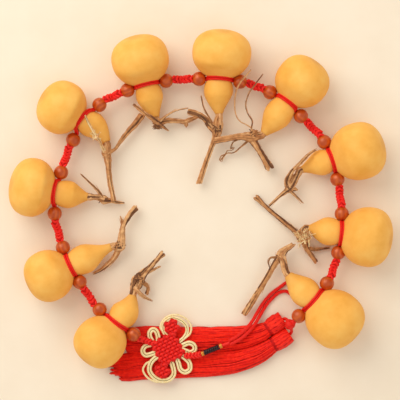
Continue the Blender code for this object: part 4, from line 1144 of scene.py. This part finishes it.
def bundle_threads(points, count, lock_count, stations, radius, seed, ragged):
    """Threads laid along a bundle in locks that wander a little, with grooves between, and end unevenly. A
    thread at a lock's edge takes the deep tone, as painted shade in the groove.
    """
    rng = random.Random(seed)
    line = bundle_line(points, stations)
    locks = [(rng.uniform(0, 6.3), rng.uniform(0.5, 1.3), rng.uniform(0.02, 0.06)) for _ in range(lock_count)]
    lock_ends = [rng.uniform(-4.5, 1.5) for _ in range(lock_count)]
    found = []
    for k in range(count):
        across = -1 + 2 * (k + rng.uniform(0, 1)) / count
        place_in_row = (across + 1) / 2 * lock_count
        number = min(lock_count - 1, int(place_in_row))
        phase, turns, swing = locks[number]
        edge = abs(2 * (place_in_row - number) - 1) ** 3
        own = rng.uniform(-0.02, 0.02)
        depth = rng.uniform(0.0, 0.4)
        thread = []
        for i, (centre, side, way, half, thick) in enumerate(line):
            share = i / (stations - 1)
            sway = swing * math.sin(phase + turns * 6.3 * share)
            sway += THREAD_SWAY * math.sin(phase * 3 + 40 * share + k / 9)
            if ragged:
                gather = WISP_GATHER * max(0.0, (share - WISP_START) / (1 - WISP_START)) ** 1.5
                sway += (2 * (number + 0.5) / lock_count - 1 - across) * gather
            u = max(-1.0, min(1.0, across + sway + own * share * 3))
            lift = thick * max(0.0, 1 - u * u) ** (BUNDLE_ROUNDNESS / 2)
            wave = 0.1 * math.sin(phase * 2 + 9 * share + k) - GROOVE_DEPTH * edge * (1.0 if ragged else 0.5)
            spread = SKIRT_SPREAD * (1 + 0.16 * share**3) if ragged else CAP_SPREAD
            rise = max(TASSEL_FLOOR + radius, lift - depth * radius + wave)
            thread.append((*(centre + side * half * u * spread + UP * rise), radius))
        if ragged:
            end = 1.0 + 3.5 * across + lock_ends[number] + rng.uniform(-2.5, 1.5)
            thread[-1] = (*(Vector(thread[-1][:3]) + line[-1][2] * end), radius * 0.6)
        finishes = (0, 0, 0, 1, 1, 2) if ragged else (0, 0, 1)
        # Threads at a lock's edge take the deep tone: painted shade in the grooves between locks; the others
        # take tones at random
        found.append((thread, 2 if edge > 0.5 else rng.choice(finishes)))
    return found


def binding(points):
    """Turns of thread bound round a bundle where its head is tied, in the deep tone as painted shade in the
    crease there.
    """
    centre, side, way, half, thick = bundle_line(points, 40)[round(BINDING_PLACE * 39)]
    rings = []
    for n in range(BINDING_TURNS):
        middle = centre + way * (n - (BINDING_TURNS - 1) / 2) * BINDING_THREAD * 1.8
        ring = []
        for a in circle(22):
            rise = max(BINDING_THREAD + 0.05, thick * (0.5 + 0.52 * math.sin(a)))
            ring.append((*(middle + side * half * 1.02 * math.cos(a) + UP * rise), BINDING_THREAD))
        # The binding takes the deep thread tone: painted shade in the crease where the head is tied
        rings.append((ring, 2))
    return rings


def tassel_pieces(number, cap, skirt):
    # The skirt's inside is in the deep thread tone: painted shade where it shows between the threads
    bundle_body(f"tassel_fill_{number}", skirt[:-1], SKIRT_FILL, [f"tassel_skirt_{number}"], THREADS[2])
    threads = bundle_threads(skirt, SKIRT_THREADS, SKIRT_LOCKS, SKIRT_STATIONS, SKIRT_THREAD, number, True)
    strands(f"tassel_threads_{number}", threads, [], THREADS, sides=4)
    bundle_body(f"tassel_cap_{number}", cap, CAP_FILL, [f"tassel_head_{number}"], THREADS[1])
    joined = [*cap[:-1], skirt[0]]
    folds = bundle_threads(joined, CAP_THREADS, CAP_PLEATS, CAP_STATIONS, CAP_THREAD, number + 5, False)
    strands(f"tassel_cap_threads_{number}", folds, [], THREADS)
    strands(f"tassel_binding_{number}", binding(joined), [], THREADS, closed=True)


for number, (cap, skirt) in enumerate(TASSELS, 1):
    tassel_pieces(number, cap, skirt)

# Button knot: its ball is 0.6 mm larger in radius here than in the source, and its tails closer together
BUTTON_KNOT = Vector((62.1, -85.9, 12.9))
BUTTON_RADIUS = 3.6
BUTTON_CORD = 1.1
BUTTON_WAVE = 0.22
# The tilt and the turn of each ring of cord
BUTTON_RINGS = ((0.0, 0.0), (1.05, 0.0), (1.05, 2.1), (1.05, 4.2), (1.57, 1.0), (1.57, 2.6))
# The filled middle, from below: height and radius
BUTTON_HEART = ((-2.4, 0.6), (-1.8, 1.5), (-0.8, 2.2), (0.8, 2.2), (1.8, 1.5), (2.4, 0.6))
BUTTON_NECK_RADIUS = 1.9
BUTTON_NECK_PITCH = 6.0
BUTTON_TAILS = (
    ((61.6, -84.8, 11), (60.4, -83.2, 8.5), (59.4, -82.6, 6), (57.8, -83, 4.5)),
    ((62.4, -87.6, 11), (63.4, -90, 8.5), (63.6, -92, 6), (62.6, -93.4, 4.5)),
)


def button_piece():
    """Turns of cord crossing over a ball, with a tail down to each tassel's cap."""
    rings = []
    for tilt, turn in BUTTON_RINGS:
        pose = Matrix.Rotation(turn, 3, "Z") @ Matrix.Rotation(tilt, 3, "X")
        ring = []
        for a in circle(24):
            reach = BUTTON_RADIUS - BUTTON_CORD + BUTTON_WAVE * math.cos(3 * a + turn)
            out = pose @ Vector((math.cos(a), math.sin(a), 0)) * reach
            ring.append((*(BUTTON_KNOT + out), BUTTON_CORD))
        rings.append((ring, 0))
    strands("button_knot_turns", rings, ["button_knot"], [RED_CORD], sides=8, closed=True)
    neck = [bead_centres[-1] + bead_ways[-1] * away for away in (4.4, 6.0)] + [BUTTON_KNOT]
    tails = [with_radius(smooth_route(points, 1.0), BUTTON_CORD) for points in BUTTON_TAILS]
    tails += plies(neck, BUTTON_NECK_RADIUS, 3, BUTTON_NECK_PITCH, step=0.7)
    tails.append([(*(BUTTON_KNOT + UP * rise), radius) for rise, radius in BUTTON_HEART])
    strands("button_knot_tails", [(tail, 0) for tail in tails], [], [RED_CORD], sides=8)


button_piece()
